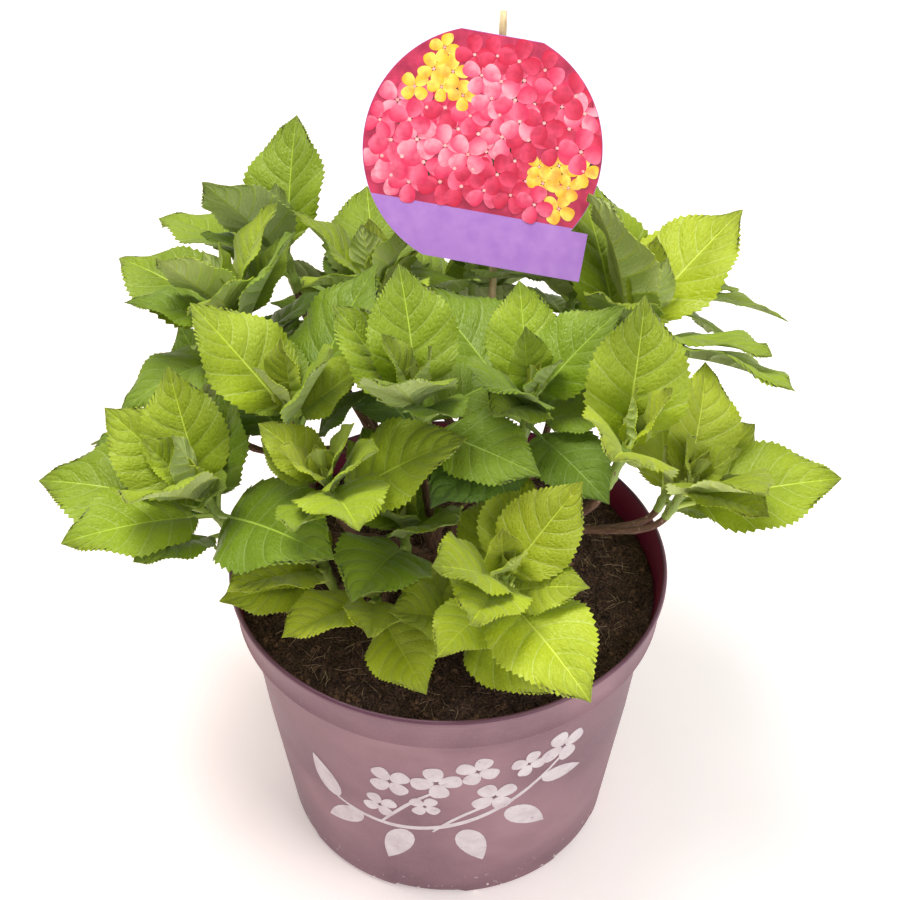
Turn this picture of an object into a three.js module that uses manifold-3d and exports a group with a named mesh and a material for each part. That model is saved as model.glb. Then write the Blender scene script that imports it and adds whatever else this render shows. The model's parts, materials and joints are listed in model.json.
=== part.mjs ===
// A young hydrangea in its round nursery pot, with a picture card on a stick.
//
// Every shoot is one woody limb and, at its tip, one mass: a green stem with opposite pairs of
// leaves, each pair turned a quarter turn on the pair above. A seeded rule places the leaves, and
// leaves out any that would touch a neighbouring shoot, the pot, the compost or the card.
//
// Millimetres, +Z up, origin at the centre of the pot's flat underside, the card facing -Y.
import * as THREE from 'three';
import { mergeVertices } from 'three/addons/utils/BufferGeometryUtils.js';
import Module from 'manifold-3d';

const wasm = await Module();
wasm.setup();

// ---------------------------------------------------------------- driving dimensions
const CLEAR = 0.3; // gap between pieces that bear on each other
const DEG = Math.PI / 180;

const POT = {
  height: 171,
  rimRadius: 115,
  collarRadius: 112,
  collarBottom: 148,
  bodyTopRadius: 107,
  footRadius: 88,
  wall: 2.2,
  floor: 5.5,
  recess: 3,
  padRadius: 15,
  footWidth: 9,
  notches: 6,
  firstNotch: -97, // bearing in degrees; the front is at -90
  notchWidth: 38,
  notchHeight: 5,
  sides: 40,
};

const COMPOST_TOP = 155;

const CROWN = { baseRadius: 26, topRadius: 18, height: 14, limbRing: 10, limbDepth: 5, sides: 14 };

const LIMB = {
  sides: 6,
  steps: 6,
  mainRoot: 3.4,
  mainTip: 2.4,
  branchRoot: 2.5,
  branchTip: 2.1,
  splay: 0.8,
  forkPull: 0.9,
  rootReach: 0.4,
  tipReach: 0.3,
  lean: 0.0032,
};

const STEM = { sides: 6, tipRadius: 1.6, foot: 6 };

// Stations along the ring of main limbs run evenly from this bearing.
const FIRST_LIMB_BEARING = -189;

/** A shoot that rises from the root crown. */
function mainShoot(name, tip, bearing, leaf, pairs, droop) {
  return { name, tip, bearing, leaf, pairs, droop };
}

/** A shoot that forks from another one, at a share of that one's length. */
const sideShoot = (from, at, ...row) => ({ ...mainShoot(...row), from, at });

// One row for each shoot: where its tip is, the bearing of its widest pair of leaves, the length
// of its longest leaf, its pairs of leaves, and how far its leaves droop more than the usual.
const SHOOTS = [
  mainShoot('front_right', [26, -82, 238], -57, 70, 3, -6),
  mainShoot('left', [-122, -24, 240], 168, 85, 3, -12),
  mainShoot('front_left', [-57, -48, 268], 20, 80, 3, 6),
  mainShoot('right', [84, -38, 278], -22, 88, 3, -11),
  mainShoot('middle', [-14, -30, 302], -15, 76, 4, -6),
  mainShoot('back_left', [-87, 105, 298], 150, 82, 3, -14),
  mainShoot('back_right', [96, 62, 282], 104, 92, 3, -12),
  mainShoot('back', [14, 128, 280], 75, 76, 4, 0),
  sideShoot('left', 0.45, 'left_upper', [-110, 54, 296], 146, 70, 4, -22),
  sideShoot('left', 0.5, 'left_middle', [-76, -18, 286], 45, 76, 4, -10),
  sideShoot('right', 0.3, 'right_low', [112, -4, 222], 14, 74, 2, 10),
  sideShoot('middle', 0.45, 'centre_right', [40, -10, 288], 125, 78, 4, -4),
  sideShoot('front_right', 0.3, 'front_low', [6, -62, 192], -70, 52, 3, 8),
  sideShoot('front_left', 0.3, 'front_left_low', [-36, -56, 200], -50, 70, 3, 14),
  sideShoot('front_left', 0.35, 'left_front_low', [-62, -42, 208], 152, 66, 3, 4),
  sideShoot('back_right', 0.5, 'far_right', [124, 98, 284], -20, 58, 4, 2),
  sideShoot('back_right', 0.35, 'back_right_low', [70, 134, 250], 60, 78, 3, 4),
  sideShoot('back_left', 0.35, 'back_left_low', [-52, 138, 244], 120, 78, 3, 4),
  sideShoot('back', 0.4, 'middle_back', [-38, 80, 292], 75, 70, 4, -6),
  sideShoot('back_left', 0.3, 'left_back_low', [-122, 66, 226], 165, 74, 3, 4),
  sideShoot('middle', 0.3, 'middle_low', [-22, -36, 226], 70, 66, 3, 0),
  sideShoot('back', 0.5, 'far_back', [10, 160, 224], 95, 76, 3, 6),
  sideShoot('right', 0.4, 'right_front', [116, -34, 252], -2, 78, 3, -4),
];

// Pairs of leaves from the tip down: how far below the tip they spring, their share of the longest
// leaf, the angle they open from the stem, how far the blade bends back over its length, how
// sharply it is folded along the midrib, and the length of the leaf stalk.
const RANKS = [
  { drop: 2, share: 0.44, open: 27, bend: -12, fold: 0.5, stalk: 3, apart: 2 },
  { drop: 9, share: 0.82, open: 42, bend: 16, fold: 0.46, stalk: 6, apart: 3.5 },
  { drop: 20, share: 1, open: 66, bend: 22, fold: 0.36, stalk: 11, apart: 4 },
  { drop: 34, share: 1, open: 84, bend: 28, fold: 0.28, stalk: 14, apart: 4 },
];

const LEAF = {
  fullLeaf: 80, // leaf length that the drops and stalks above are drawn for
  widthShare: 0.69,
  baseTaper: 0.8,
  tipTaper: 1.12,
  widest: 0.417,
  edgeCurl: 0.22,
  thickShare: 1 / 45,
  stalkRadius: 1.5,
  stalkEnd: 0.03,
  bladeStations: [0.15, 0.45, 0.78],
};

const GROWTH = {
  seed: 11,
  turnSpread: 9,
  openSpread: 7,
  rollSpread: 14,
  sizeSpread: 0.1,
  bendSpread: 12,
  sizes: [1, 0.9, 0.8, 0.68],
  lifts: [0, -9, 9, 18, -18, 27],
  swings: [0, 12, -12, 24, -24],
  leafGap: 6,
  limbGap: 6,
  ownLimbGap: 5,
  cardGap: 6,
  reachPad: 8,
  limbPitch: 7,
  compostGap: 4,
  rimInside: 100,
  rimOutside: 128,
  rimGap: 5,
  lowest: 60,
};
const LENGTH_SAMPLES = [0.14, 0.26, 0.38, 0.49, 0.6, 0.7, 0.8, 0.9, 1];
const WIDTH_SAMPLES = [-1, -0.75, -0.5, -0.25, 0, 0.25, 0.5, 0.75, 1];
const INNER_STATIONS = 2; // stations next to the stalk, which may lie close to the own limb

const CARD = {
  centre: [17, 84, 366],
  lean: 30,
  turn: 10,
  radius: 59,
  flat: 55.5,
  tabRight: 58.5,
  tabTop: -31.5,
  thickness: 0.8,
  arcSteps: 12,
};

const STICK = { radius: 2, foot: [20, 60], depth: 35, above: 12, offset: 2.6, sides: 10 };

// ---------------------------------------------------------------- small tools
const UP = new THREE.Vector3(0, 0, 1);
const vec = (x, y, z) => new THREE.Vector3(x, y, z);
const along = (point, direction, distance) => point.clone().addScaledVector(direction, distance);

/** Linear congruential generator: the same numbers on every machine. */
class Dice {
  constructor(seed) {
    this.state = seed >>> 0;
  }

  next() {
    this.state = (Math.imul(this.state, 1664525) + 1013904223) >>> 0;
    return this.state / 4294967296;
  }

  spread(half) {
    return (2 * this.next() - 1) * half;
  }
}

/** Turns a closed three.js geometry into a manifold solid. */
function toSolid(geometry) {
  const bare = geometry.clone();
  bare.deleteAttribute('normal');
  bare.deleteAttribute('uv');
  const merged = mergeVertices(bare, 1e-4);
  const mesh = new wasm.Mesh({
    numProp: 3,
    vertProperties: new Float32Array(merged.attributes.position.array),
    triVerts: new Uint32Array(merged.index.array),
  });
  mesh.merge();
  return new wasm.Manifold(mesh);
}

/** Turns a manifold solid back into a three.js geometry. */
function toGeometry(solid) {
  const mesh = solid.getMesh();
  const geometry = new THREE.BufferGeometry();
  geometry.setAttribute('position', new THREE.Float32BufferAttribute(mesh.vertProperties, 3));
  geometry.setIndex(Array.from(mesh.triVerts));
  geometry.computeVertexNormals();
  return geometry;
}

/** Keeps the one largest body: loose scraps go, and sealed hollows are filled. */
function largestBody(solid) {
  const bodies = solid.decompose();
  bodies.sort((a, b) => b.volume() - a.volume());
  return bodies[0];
}

/** Moves every vertex of a geometry by a rule. */
function mapVertices(geometry, rule) {
  const position = geometry.attributes.position;
  const point = new THREE.Vector3();
  for (let i = 0; i < position.count; i += 1) {
    point.fromBufferAttribute(position, i);
    const moved = rule(point);
    position.setXYZ(i, moved.x, moved.y, moved.z);
  }
  return geometry;
}

/** A solid of revolution about Z from [radius, height] pairs that start and end on the axis. */
function turned(profile, sides) {
  const points = profile.map(([radius, height]) => new THREE.Vector2(radius, height));
  return new THREE.LatheGeometry(points, sides).rotateX(Math.PI / 2);
}

/** A straight rod from one point to another. */
function rod(from, to, rootRadius, tipRadius, sides) {
  const run = to.clone().sub(from);
  const geometry = new THREE.CylinderGeometry(tipRadius, rootRadius, run.length(), sides, 1);
  const turn = new THREE.Quaternion().setFromUnitVectors(vec(0, 1, 0), run.clone().normalize());
  const middle = from.clone().lerp(to, 0.5);
  return geometry.applyQuaternion(turn).translate(middle.x, middle.y, middle.z);
}

/** A limb that tapers along a curve; grow fattens it to cut a seat for it. */
function bentLimb(curve, rootRadius, tipRadius, grow = 0) {
  const frames = curve.computeFrenetFrames(LIMB.steps, false);
  const unit = new THREE.CylinderGeometry(1, 1, 1, LIMB.sides, LIMB.steps);
  return mapVertices(unit, (p) => {
    const t = p.y + 0.5;
    const i = Math.round(t * LIMB.steps);
    const radius = rootRadius + (tipRadius - rootRadius) * t + grow;
    return curve
      .getPoint(curve.getUtoTmapping(t))
      .addScaledVector(frames.normals[i], p.x * radius)
      .addScaledVector(frames.binormals[i], -p.z * radius);
  });
}

// ---------------------------------------------------------------- the growth rule
/** Axis of a shoot's green stem: upright, leaning out a little with its distance from the middle. */
function stemAxis(tip) {
  return vec(tip.x * LIMB.lean, tip.y * LIMB.lean, 1).normalize();
}

/** Bearings at which the main limbs leave the root crown, evenly spaced in the order of their tips. */
function limbBearings(rows) {
  const mains = rows.filter((row) => !row.from);
  const turnOf = (row) => Math.atan2(row.tip[1], row.tip[0]);
  const order = [...mains].sort((a, b) => turnOf(a) - turnOf(b));
  const step = 360 / mains.length;
  return new Map(order.map((row, i) => [row.name, (FIRST_LIMB_BEARING + step * i) * DEG]));
}

/** Works out each shoot's stem axis, limb curve and the points that other leaves keep clear of. */
function growShoots() {
  const shoots = new Map();
  const bearings = limbBearings(SHOOTS);
  for (const row of SHOOTS) {
    const tip = vec(...row.tip);
    const axis = stemAxis(tip);
    const scale = row.leaf / LEAF.fullLeaf;
    const stem = RANKS[row.pairs - 1].drop * scale + STEM.foot;
    const collar = along(tip, axis, -stem);
    const root = new THREE.Vector3();
    const start = new THREE.Vector3();
    if (row.from) {
      const parent = shoots.get(row.from);
      root.copy(parent.curve.getPoint(row.at));
      const pull = collar.clone().sub(root).normalize().multiplyScalar(LIMB.forkPull);
      start.copy(parent.curve.getTangent(row.at)).add(pull).normalize();
    } else {
      const bearing = bearings.get(row.name);
      const top = COMPOST_TOP + CLEAR + CROWN.height - CROWN.limbDepth;
      root.set(CROWN.limbRing * Math.cos(bearing), CROWN.limbRing * Math.sin(bearing), top);
      start.set(LIMB.splay * Math.cos(bearing), LIMB.splay * Math.sin(bearing), 1).normalize();
    }
    const reach = collar.distanceTo(root);
    const curve = new THREE.CubicBezierCurve3(
      root,
      along(root, start, reach * LIMB.rootReach),
      along(collar, axis, -reach * LIMB.tipReach),
      collar,
    );
    const shoot = { ...row, tip, axis, scale, collar, curve };
    shoot.guard = spheres(limbPoints(shoot));
    shoots.set(row.name, shoot);
  }
  return shoots;
}

/** Points along a shoot's limb and green stem. */
function limbPoints(shoot) {
  const { curve, collar, tip } = shoot;
  const steps = Math.max(4, Math.floor(collar.distanceTo(curve.v0) / GROWTH.limbPitch));
  const points = [];
  for (let i = 0; i <= steps; i += 1) points.push(curve.getPoint(i / steps));
  const stemSteps = Math.max(2, Math.ceil(collar.distanceTo(tip) / GROWTH.limbPitch));
  for (let i = 1; i < stemSteps; i += 1) points.push(collar.clone().lerp(tip, i / stemSteps));
  return points;
}

/** A set of points with the sphere that holds them. */
function spheres(points) {
  const centre = new THREE.Vector3();
  for (const point of points) centre.add(point);
  centre.divideScalar(points.length);
  const radius = Math.max(...points.map((point) => point.distanceTo(centre)));
  return { points, centre, radius };
}

/** Half the width of a blade at the fraction t of its length. */
function halfWidth(t, length) {
  const { widthShare, baseTaper, tipTaper, widest } = LEAF;
  const peak = widest ** baseTaper * (1 - widest) ** tipTaper;
  return ((widthShare * length) / 2) * ((t ** baseTaper * (1 - t) ** tipTaper) / peak);
}

/** A point of a blade: t runs from base to tip, s from edge to edge, lift is off the surface. */
function bladePoint(leaf, t, s, lift = 0) {
  const bend = leaf.bend * DEG;
  const turn = bend * t;
  const width = halfWidth(t, leaf.length);
  const off = width * (leaf.fold * Math.abs(s) - LEAF.edgeCurl * s * s) + lift;
  return leaf.base
    .clone()
    .addScaledVector(leaf.along, (leaf.length * Math.sin(turn)) / bend + off * Math.sin(turn))
    .addScaledVector(leaf.up, (-leaf.length * (1 - Math.cos(turn))) / bend + off * Math.cos(turn))
    .addScaledVector(leaf.side, s * width);
}

/** One leaf of a shoot, with its own small turns, before it is tried for room. */
function makeLeaf(shoot, rank, side, own, size, lift, swing) {
  const row = RANKS[rank];
  const bearing = (shoot.bearing + 90 * (2 - rank) + 180 * side + own.turn + swing) * DEG;
  const open = (row.open + shoot.droop + own.open - lift) * DEG;
  const level = vec(Math.cos(bearing), Math.sin(bearing), 0);
  const out = level.clone().addScaledVector(shoot.axis, -level.dot(shoot.axis)).normalize();
  const direction = shoot.axis.clone().multiplyScalar(Math.cos(open));
  direction.addScaledVector(out, Math.sin(open));
  const face = shoot.axis.clone().multiplyScalar(Math.sin(open)).addScaledVector(out, -Math.cos(open));
  const across = direction.clone().cross(face);
  const roll = own.roll * DEG;
  const up = face.multiplyScalar(Math.cos(roll)).addScaledVector(across, Math.sin(roll));
  const root = along(shoot.tip, shoot.axis, -row.drop * shoot.scale);
  return {
    shoot,
    rank,
    root,
    along: direction,
    up,
    side: direction.clone().cross(up),
    base: along(root, direction, row.stalk * shoot.scale),
    length: shoot.leaf * row.share * (1 + own.size) * size,
    bend: row.bend + own.bend,
    fold: row.fold,
  };
}

/** The least distance between two sets of points. */
function separation(a, b) {
  let least = Infinity;
  for (const p of a) {
    for (const q of b) least = Math.min(least, p.distanceToSquared(q));
  }
  return Math.sqrt(least);
}

/** True where two sets of points may come nearer to each other than a gap. */
function mayMeet(a, b, gap) {
  return a.centre.distanceTo(b.centre) <= a.radius + b.radius + gap;
}

/** True where a leaf's points keep off the compost, the rim and the floor. */
function clearsPot(points) {
  return points.every((p) => {
    const radius = Math.hypot(p.x, p.y);
    const overCompost = radius >= POT.rimRadius + 3 || p.z >= COMPOST_TOP + GROWTH.compostGap;
    const nearRim = radius > GROWTH.rimInside && radius < GROWTH.rimOutside;
    const overRim = !nearRim || p.z >= POT.height + GROWTH.rimGap;
    return overCompost && overRim && p.z >= GROWTH.lowest;
  });
}

/** Tries a leaf for room, and gives it its guard points where it has it. */
function hasRoom(leaf, placed, shoots, card) {
  const points = [];
  for (const t of LENGTH_SAMPLES) {
    for (const s of WIDTH_SAMPLES) points.push(bladePoint(leaf, t, s));
  }
  if (!clearsPot(points) || separation(points, card) < GROWTH.cardGap) return false;
  const outer = points.slice(INNER_STATIONS * WIDTH_SAMPLES.length);
  const stalk = [leaf.root.clone().lerp(leaf.base, 0.5), leaf.base];
  const guard = spheres([...points, ...stalk]);
  for (const shoot of shoots.values()) {
    if (!mayMeet(guard, shoot.guard, GROWTH.reachPad)) continue;
    const own = shoot === leaf.shoot;
    const gap = own ? GROWTH.ownLimbGap : GROWTH.limbGap;
    if (separation(own ? outer : guard.points, shoot.guard.points) < gap) return false;
  }
  for (const other of placed) {
    if (!mayMeet(guard, other.guard, GROWTH.leafGap)) continue;
    const own = other.shoot === leaf.shoot;
    const gap = own ? RANKS[Math.min(leaf.rank, other.rank)].apart : GROWTH.leafGap;
    const mine = own ? outer : guard.points;
    const theirs = own ? other.outer : other.guard.points;
    if (separation(mine, theirs) < gap) return false;
  }
  leaf.guard = guard;
  leaf.outer = outer;
  return true;
}

/** The first size, lift and swing at which a leaf has room, or null. */
function findRoom(shoot, rank, side, own, placed, shoots, card) {
  for (const size of GROWTH.sizes) {
    for (const lift of GROWTH.lifts) {
      for (const swing of GROWTH.swings) {
        const leaf = makeLeaf(shoot, rank, side, own, size, lift, swing);
        if (hasRoom(leaf, placed, shoots, card)) return leaf;
      }
    }
  }
  return null;
}

/** Grows all leaves, the top pairs first. */
function growLeaves(shoots, card) {
  const dice = new Dice(GROWTH.seed);
  const placed = [];
  for (let rank = 0; rank < RANKS.length; rank += 1) {
    for (const shoot of shoots.values()) {
      if (rank >= shoot.pairs) continue;
      for (const side of [0, 1]) {
        const own = {
          turn: dice.spread(GROWTH.turnSpread),
          open: dice.spread(GROWTH.openSpread),
          roll: dice.spread(GROWTH.rollSpread),
          size: dice.spread(GROWTH.sizeSpread),
          bend: dice.spread(GROWTH.bendSpread),
        };
        const leaf = findRoom(shoot, rank, side, own, placed, shoots, card);
        if (leaf) placed.push(leaf);
      }
    }
  }
  return placed;
}

// ---------------------------------------------------------------- card and stick
/** The card's own axes: across, up and out of its front. */
function cardFrame() {
  const { lean, turn, centre } = CARD;
  const across = vec(1, 0, 0);
  const rise = vec(0, Math.sin(lean * DEG), Math.cos(lean * DEG));
  const up = rise.clone().multiplyScalar(Math.cos(turn * DEG));
  up.addScaledVector(across, Math.sin(turn * DEG));
  const right = across.multiplyScalar(Math.cos(turn * DEG));
  right.addScaledVector(rise, -Math.sin(turn * DEG));
  return { centre: vec(...centre), right, up, front: right.clone().cross(up) };
}

/** The two ends of the stick, which passes just behind the card's top edge. */
function stickEnds() {
  const { centre, up, front } = cardFrame();
  const touch = along(along(centre, up, CARD.flat), front, -CARD.thickness - STICK.offset);
  const foot = vec(...STICK.foot, COMPOST_TOP);
  const run = touch.clone().sub(foot).normalize();
  return { low: along(foot, run, -STICK.depth), foot, high: along(touch, run, STICK.above) };
}

/** Points of the card and the stick that leaves keep clear of. */
function cardPoints() {
  const { centre, right, up } = cardFrame();
  const { foot, high } = stickEnds();
  const cells = 6;
  const pitch = CARD.radius / cells;
  const points = [];
  for (let i = -cells; i <= cells; i += 1) {
    for (let j = -cells; j <= cells; j += 1) {
      const inTab = i > 0 && j * pitch < CARD.tabTop;
      const inDisc = Math.hypot(i, j) <= cells + 0.2;
      if (inDisc || inTab) points.push(along(along(centre, right, i * pitch), up, j * pitch));
    }
  }
  const steps = Math.ceil((2 * foot.distanceTo(high)) / pitch);
  for (let i = 0; i <= steps; i += 1) points.push(foot.clone().lerp(high, i / steps));
  return points;
}

/** Round card with a flat at the top and the foot, and a square tab at its lower right. */
function cardGeometry() {
  const { radius, flat, tabRight, tabTop, thickness, arcSteps } = CARD;
  const halfFlat = Math.sqrt(radius ** 2 - flat ** 2);
  const tabMeet = Math.atan2(tabTop, Math.sqrt(radius ** 2 - tabTop ** 2));
  const outline = new THREE.Shape();
  outline.moveTo(-halfFlat, -flat);
  outline.lineTo(tabRight, -flat);
  outline.lineTo(tabRight, tabTop);
  outline.absarc(0, 0, radius, tabMeet, Math.atan2(flat, halfFlat), false);
  outline.lineTo(-halfFlat, flat);
  const leftStart = Math.atan2(flat, -halfFlat);
  const leftEnd = Math.atan2(-flat, -halfFlat) + 2 * Math.PI;
  outline.absarc(0, 0, radius, leftStart, leftEnd, false);
  const options = { depth: thickness, bevelEnabled: false, curveSegments: arcSteps };
  return new THREE.ExtrudeGeometry(outline, options);
}

// ---------------------------------------------------------------- pot, compost and root crown
/** Inside of the pot from its floor to its lip. */
function potInside() {
  const { height, rimRadius, collarRadius, collarBottom, bodyTopRadius, footRadius, wall, floor } = POT;
  return [
    [footRadius + 2 - wall, floor],
    [bodyTopRadius - wall, collarBottom],
    [collarRadius - wall, collarBottom + 3],
    [rimRadius - wall, height],
  ];
}

/** Pot with a turned collar, a raised foot ring with notches and a flat middle pad. */
function potSolid() {
  const { height, rimRadius, collarRadius, collarBottom, bodyTopRadius, footRadius } = POT;
  const { recess, padRadius, footWidth, floor, sides } = POT;
  const outside = [
    [0, 0],
    [padRadius, 0],
    [padRadius + 1, recess],
    [footRadius - footWidth - 1, recess],
    [footRadius - footWidth, 0],
    [footRadius, 0],
    [footRadius + 2, recess],
    [bodyTopRadius, collarBottom - 3],
    [collarRadius, collarBottom],
    [collarRadius + 1, height - 5],
    [rimRadius, height - 4],
    [rimRadius, height - 1],
    [rimRadius - 1, height],
  ];
  const profile = [...outside, ...potInside().reverse(), [0, floor]];
  let solid = toSolid(turned(profile, sides));
  for (let i = 0; i < POT.notches; i += 1) {
    const bearing = POT.firstNotch * DEG + (i * 2 * Math.PI) / POT.notches;
    const notch = new THREE.BoxGeometry(3 * POT.footWidth, POT.notchWidth, 2 * POT.notchHeight);
    notch.translate(footRadius, 0, 0).rotateZ(bearing);
    const keepFloor = new THREE.CylinderGeometry(footRadius - 1, footRadius - 1, 2 * floor, sides);
    keepFloor.rotateX(Math.PI / 2).translate(0, 0, recess + floor);
    solid = solid.subtract(toSolid(notch).subtract(toSolid(keepFloor)));
  }
  return solid;
}

/** Compost that fills the pot, a little clear of its wall, with the hole that the stick stands in. */
function compostSolid() {
  const [floorEdge, shoulder, ledge] = potInside();
  const side = ledge[0] - CLEAR * 1.3;
  const profile = [
    [0, floorEdge[1] + CLEAR],
    [floorEdge[0] - CLEAR * 1.3, floorEdge[1] + CLEAR],
    [shoulder[0] - CLEAR * 1.3, shoulder[1] + CLEAR],
    [side, ledge[1] + CLEAR],
    [side, COMPOST_TOP - 1.5],
    [side - 6, COMPOST_TOP],
    [0, COMPOST_TOP],
  ];
  const { low, high } = stickEnds();
  const run = high.clone().sub(low).normalize();
  const radius = STICK.radius + CLEAR;
  const hole = rod(along(low, run, -CLEAR), high, radius, radius, STICK.sides);
  return toSolid(turned(profile, POT.sides)).subtract(toSolid(hole));
}

/** Flared woody stump from its flat cut on the compost to the forks; grow fattens it for a cut. */
function crownSolid(grow = 0) {
  const { baseRadius, topRadius, height, sides } = CROWN;
  const foot = COMPOST_TOP + CLEAR;
  const middle = topRadius + (baseRadius - topRadius) * 0.3;
  const profile = [
    [0, foot - grow],
    [baseRadius + grow, foot - grow],
    [middle + grow, foot + height * 0.45],
    [topRadius + grow, foot + height + grow],
    [0, foot + height + grow],
  ];
  return toSolid(turned(profile, sides));
}

// ---------------------------------------------------------------- limbs and leaf masses
/** Root and tip radius of a shoot's limb. */
function limbRadii(shoot) {
  return shoot.from ? [LIMB.branchRoot, LIMB.branchTip] : [LIMB.mainRoot, LIMB.mainTip];
}

/** A limb, cut to stand clear of what it springs from. */
function limbSolid(shoot, shoots) {
  const grow = CLEAR * 1.2;
  const limb = toSolid(bentLimb(shoot.curve, ...limbRadii(shoot)));
  if (!shoot.from) return limb.subtract(crownSolid(CLEAR));
  const parent = shoots.get(shoot.from);
  return largestBody(limb.subtract(toSolid(bentLimb(parent.curve, ...limbRadii(parent), grow))));
}

/**
 * A leaf with its stalk: a four-sided ball drawn out from a root pole on the stem's axis, by two
 * rings of the stalk and the rings of the blade, to the pole at the tip.
 */
function leafGeometry(leaf) {
  const stations = [LEAF.stalkEnd, ...LEAF.bladeStations];
  const rings = stations.length + 1;
  const ball = new THREE.SphereGeometry(1, 4, rings + 1);
  const half = (leaf.length * LEAF.thickShare) / 2;
  return mapVertices(ball, (p) => {
    const ring = Math.round((Math.acos(THREE.MathUtils.clamp(p.y, -1, 1)) / Math.PI) * (rings + 1));
    if (ring === 0) return leaf.root;
    if (ring > rings) return bladePoint(leaf, 1, 0);
    const edge = Math.abs(p.x) > Math.abs(p.z) ? Math.sign(p.x) : 0;
    const face = edge === 0 ? -Math.sign(p.z) : 0;
    if (ring > 2) return bladePoint(leaf, stations[ring - 2], edge, face * half);
    const foot = along(leaf.root, leaf.along, LEAF.stalkRadius / 2);
    const middle = ring === 1 ? foot : bladePoint(leaf, stations[0], 0);
    return along(along(middle, leaf.side, edge * LEAF.stalkRadius), leaf.up, face * LEAF.stalkRadius);
  });
}

/** A shoot's mass: green stem, leaf stalks and blades in one solid. */
function massSolid(shoot, leaves) {
  const foot = along(shoot.collar, shoot.axis, CLEAR);
  const top = along(shoot.tip, shoot.axis, 1);
  let solid = toSolid(rod(foot, top, limbRadii(shoot)[1], STEM.tipRadius, STEM.sides));
  for (const leaf of leaves) solid = solid.add(toSolid(leafGeometry(leaf)));
  return largestBody(solid);
}

// ---------------------------------------------------------------- the plant
const model = new THREE.Group();

/** Adds one named piece with a material of its own. */
function addPiece(name, geometry, color, roughness, matrix = null) {
  const material = new THREE.MeshStandardMaterial({ color, roughness, metalness: 0 });
  const mesh = new THREE.Mesh(geometry, material);
  mesh.name = name;
  if (matrix) matrix.decompose(mesh.position, mesh.quaternion, mesh.scale);
  model.add(mesh);
}

const shoots = growShoots();
const leaves = growLeaves(shoots, cardPoints());

addPiece('pot', toGeometry(potSolid()), 0x6b4353, 0.5);
addPiece('compost', toGeometry(compostSolid()), 0x2c1d14, 0.95);
addPiece('root_crown', toGeometry(crownSolid()), 0x6f5a40, 0.9);
for (const shoot of shoots.values()) {
  addPiece(`limb_${shoot.name}`, toGeometry(limbSolid(shoot, shoots)), 0x7a6746, 0.85);
}
for (const shoot of shoots.values()) {
  const own = leaves.filter((leaf) => leaf.shoot === shoot);
  addPiece(`leaves_${shoot.name}`, toGeometry(massSolid(shoot, own)), 0x5f9a32, 0.55);
}

const card = cardFrame();
const cardPlace = new THREE.Matrix4()
  .makeBasis(card.right, card.up, card.front)
  .setPosition(along(card.centre, card.front, -CARD.thickness));
addPiece('picture_card', cardGeometry(), 0xd8405f, 0.45, cardPlace);

const stick = stickEnds();
const stickRod = rod(stick.low, stick.high, STICK.radius, STICK.radius, STICK.sides);
addPiece('card_stick', stickRod, 0xc9a877, 0.8);

export default model;
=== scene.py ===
"""Looks of a young potted hydrangea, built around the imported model.

The limbs and leaves grow by the same seeded rule as the solids, and are carried finer here:
serrated, quilted and veined blades, leaf stalks, buds, bark, crumbs of compost and a printed pot.
The growth rule works in millimetres; every mesh is in metres.
"""

import itertools
import json
import logging
import math
from collections.abc import Callable, Iterable, Sequence
from dataclasses import dataclass, field
from enum import Enum

import bmesh
import bpy
import numpy as np
from mathutils import Matrix, Vector, noise
from mathutils.bvhtree import BVHTree

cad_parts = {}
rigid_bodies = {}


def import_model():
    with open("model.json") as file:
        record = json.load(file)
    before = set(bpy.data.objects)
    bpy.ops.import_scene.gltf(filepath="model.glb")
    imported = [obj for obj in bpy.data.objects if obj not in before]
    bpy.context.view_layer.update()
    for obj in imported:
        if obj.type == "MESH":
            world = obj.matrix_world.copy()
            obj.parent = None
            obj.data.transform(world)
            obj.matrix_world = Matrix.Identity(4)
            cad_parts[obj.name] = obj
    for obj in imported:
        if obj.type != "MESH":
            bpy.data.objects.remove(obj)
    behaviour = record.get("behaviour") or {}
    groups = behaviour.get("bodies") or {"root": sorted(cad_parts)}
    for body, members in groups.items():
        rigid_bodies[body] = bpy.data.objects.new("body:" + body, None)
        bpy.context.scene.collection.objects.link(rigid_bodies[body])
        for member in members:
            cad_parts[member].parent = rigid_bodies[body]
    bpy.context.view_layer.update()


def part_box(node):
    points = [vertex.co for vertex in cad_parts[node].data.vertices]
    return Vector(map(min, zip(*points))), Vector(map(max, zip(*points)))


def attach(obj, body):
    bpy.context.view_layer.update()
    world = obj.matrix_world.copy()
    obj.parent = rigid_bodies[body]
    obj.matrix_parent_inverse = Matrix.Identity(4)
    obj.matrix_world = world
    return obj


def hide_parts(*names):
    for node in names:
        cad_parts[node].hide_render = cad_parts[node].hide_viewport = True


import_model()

LOG = logging.getLogger("hydrangea")
MM = 0.001
BODY = "root"
Color = tuple[float, float, float]
Flat = Callable[[float, float], tuple[float, float]]
Place = Callable[[float, float, float], np.ndarray]
Material = bpy.types.Material
Socket = bpy.types.NodeSocket


# ---------------------------------------------------------------- sizes shared with the solids
@dataclass(frozen=True)
class PotSize:
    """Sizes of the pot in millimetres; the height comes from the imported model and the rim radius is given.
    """

    rim_radius: float
    height: float
    collar_radius: float = 112.0
    collar_bottom: float = 148.0
    body_top_radius: float = 107.0
    foot_radius: float = 88.0
    wall: float = 2.2
    floor: float = 5.5
    recess: float = 3.0
    pad_radius: float = 15.0
    foot_width: float = 9.0
    notches: int = 6
    first_notch: float = -97.0
    notch_width: float = 38.0
    notch_height: float = 5.0
    compost_top: float = 155.0


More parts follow.
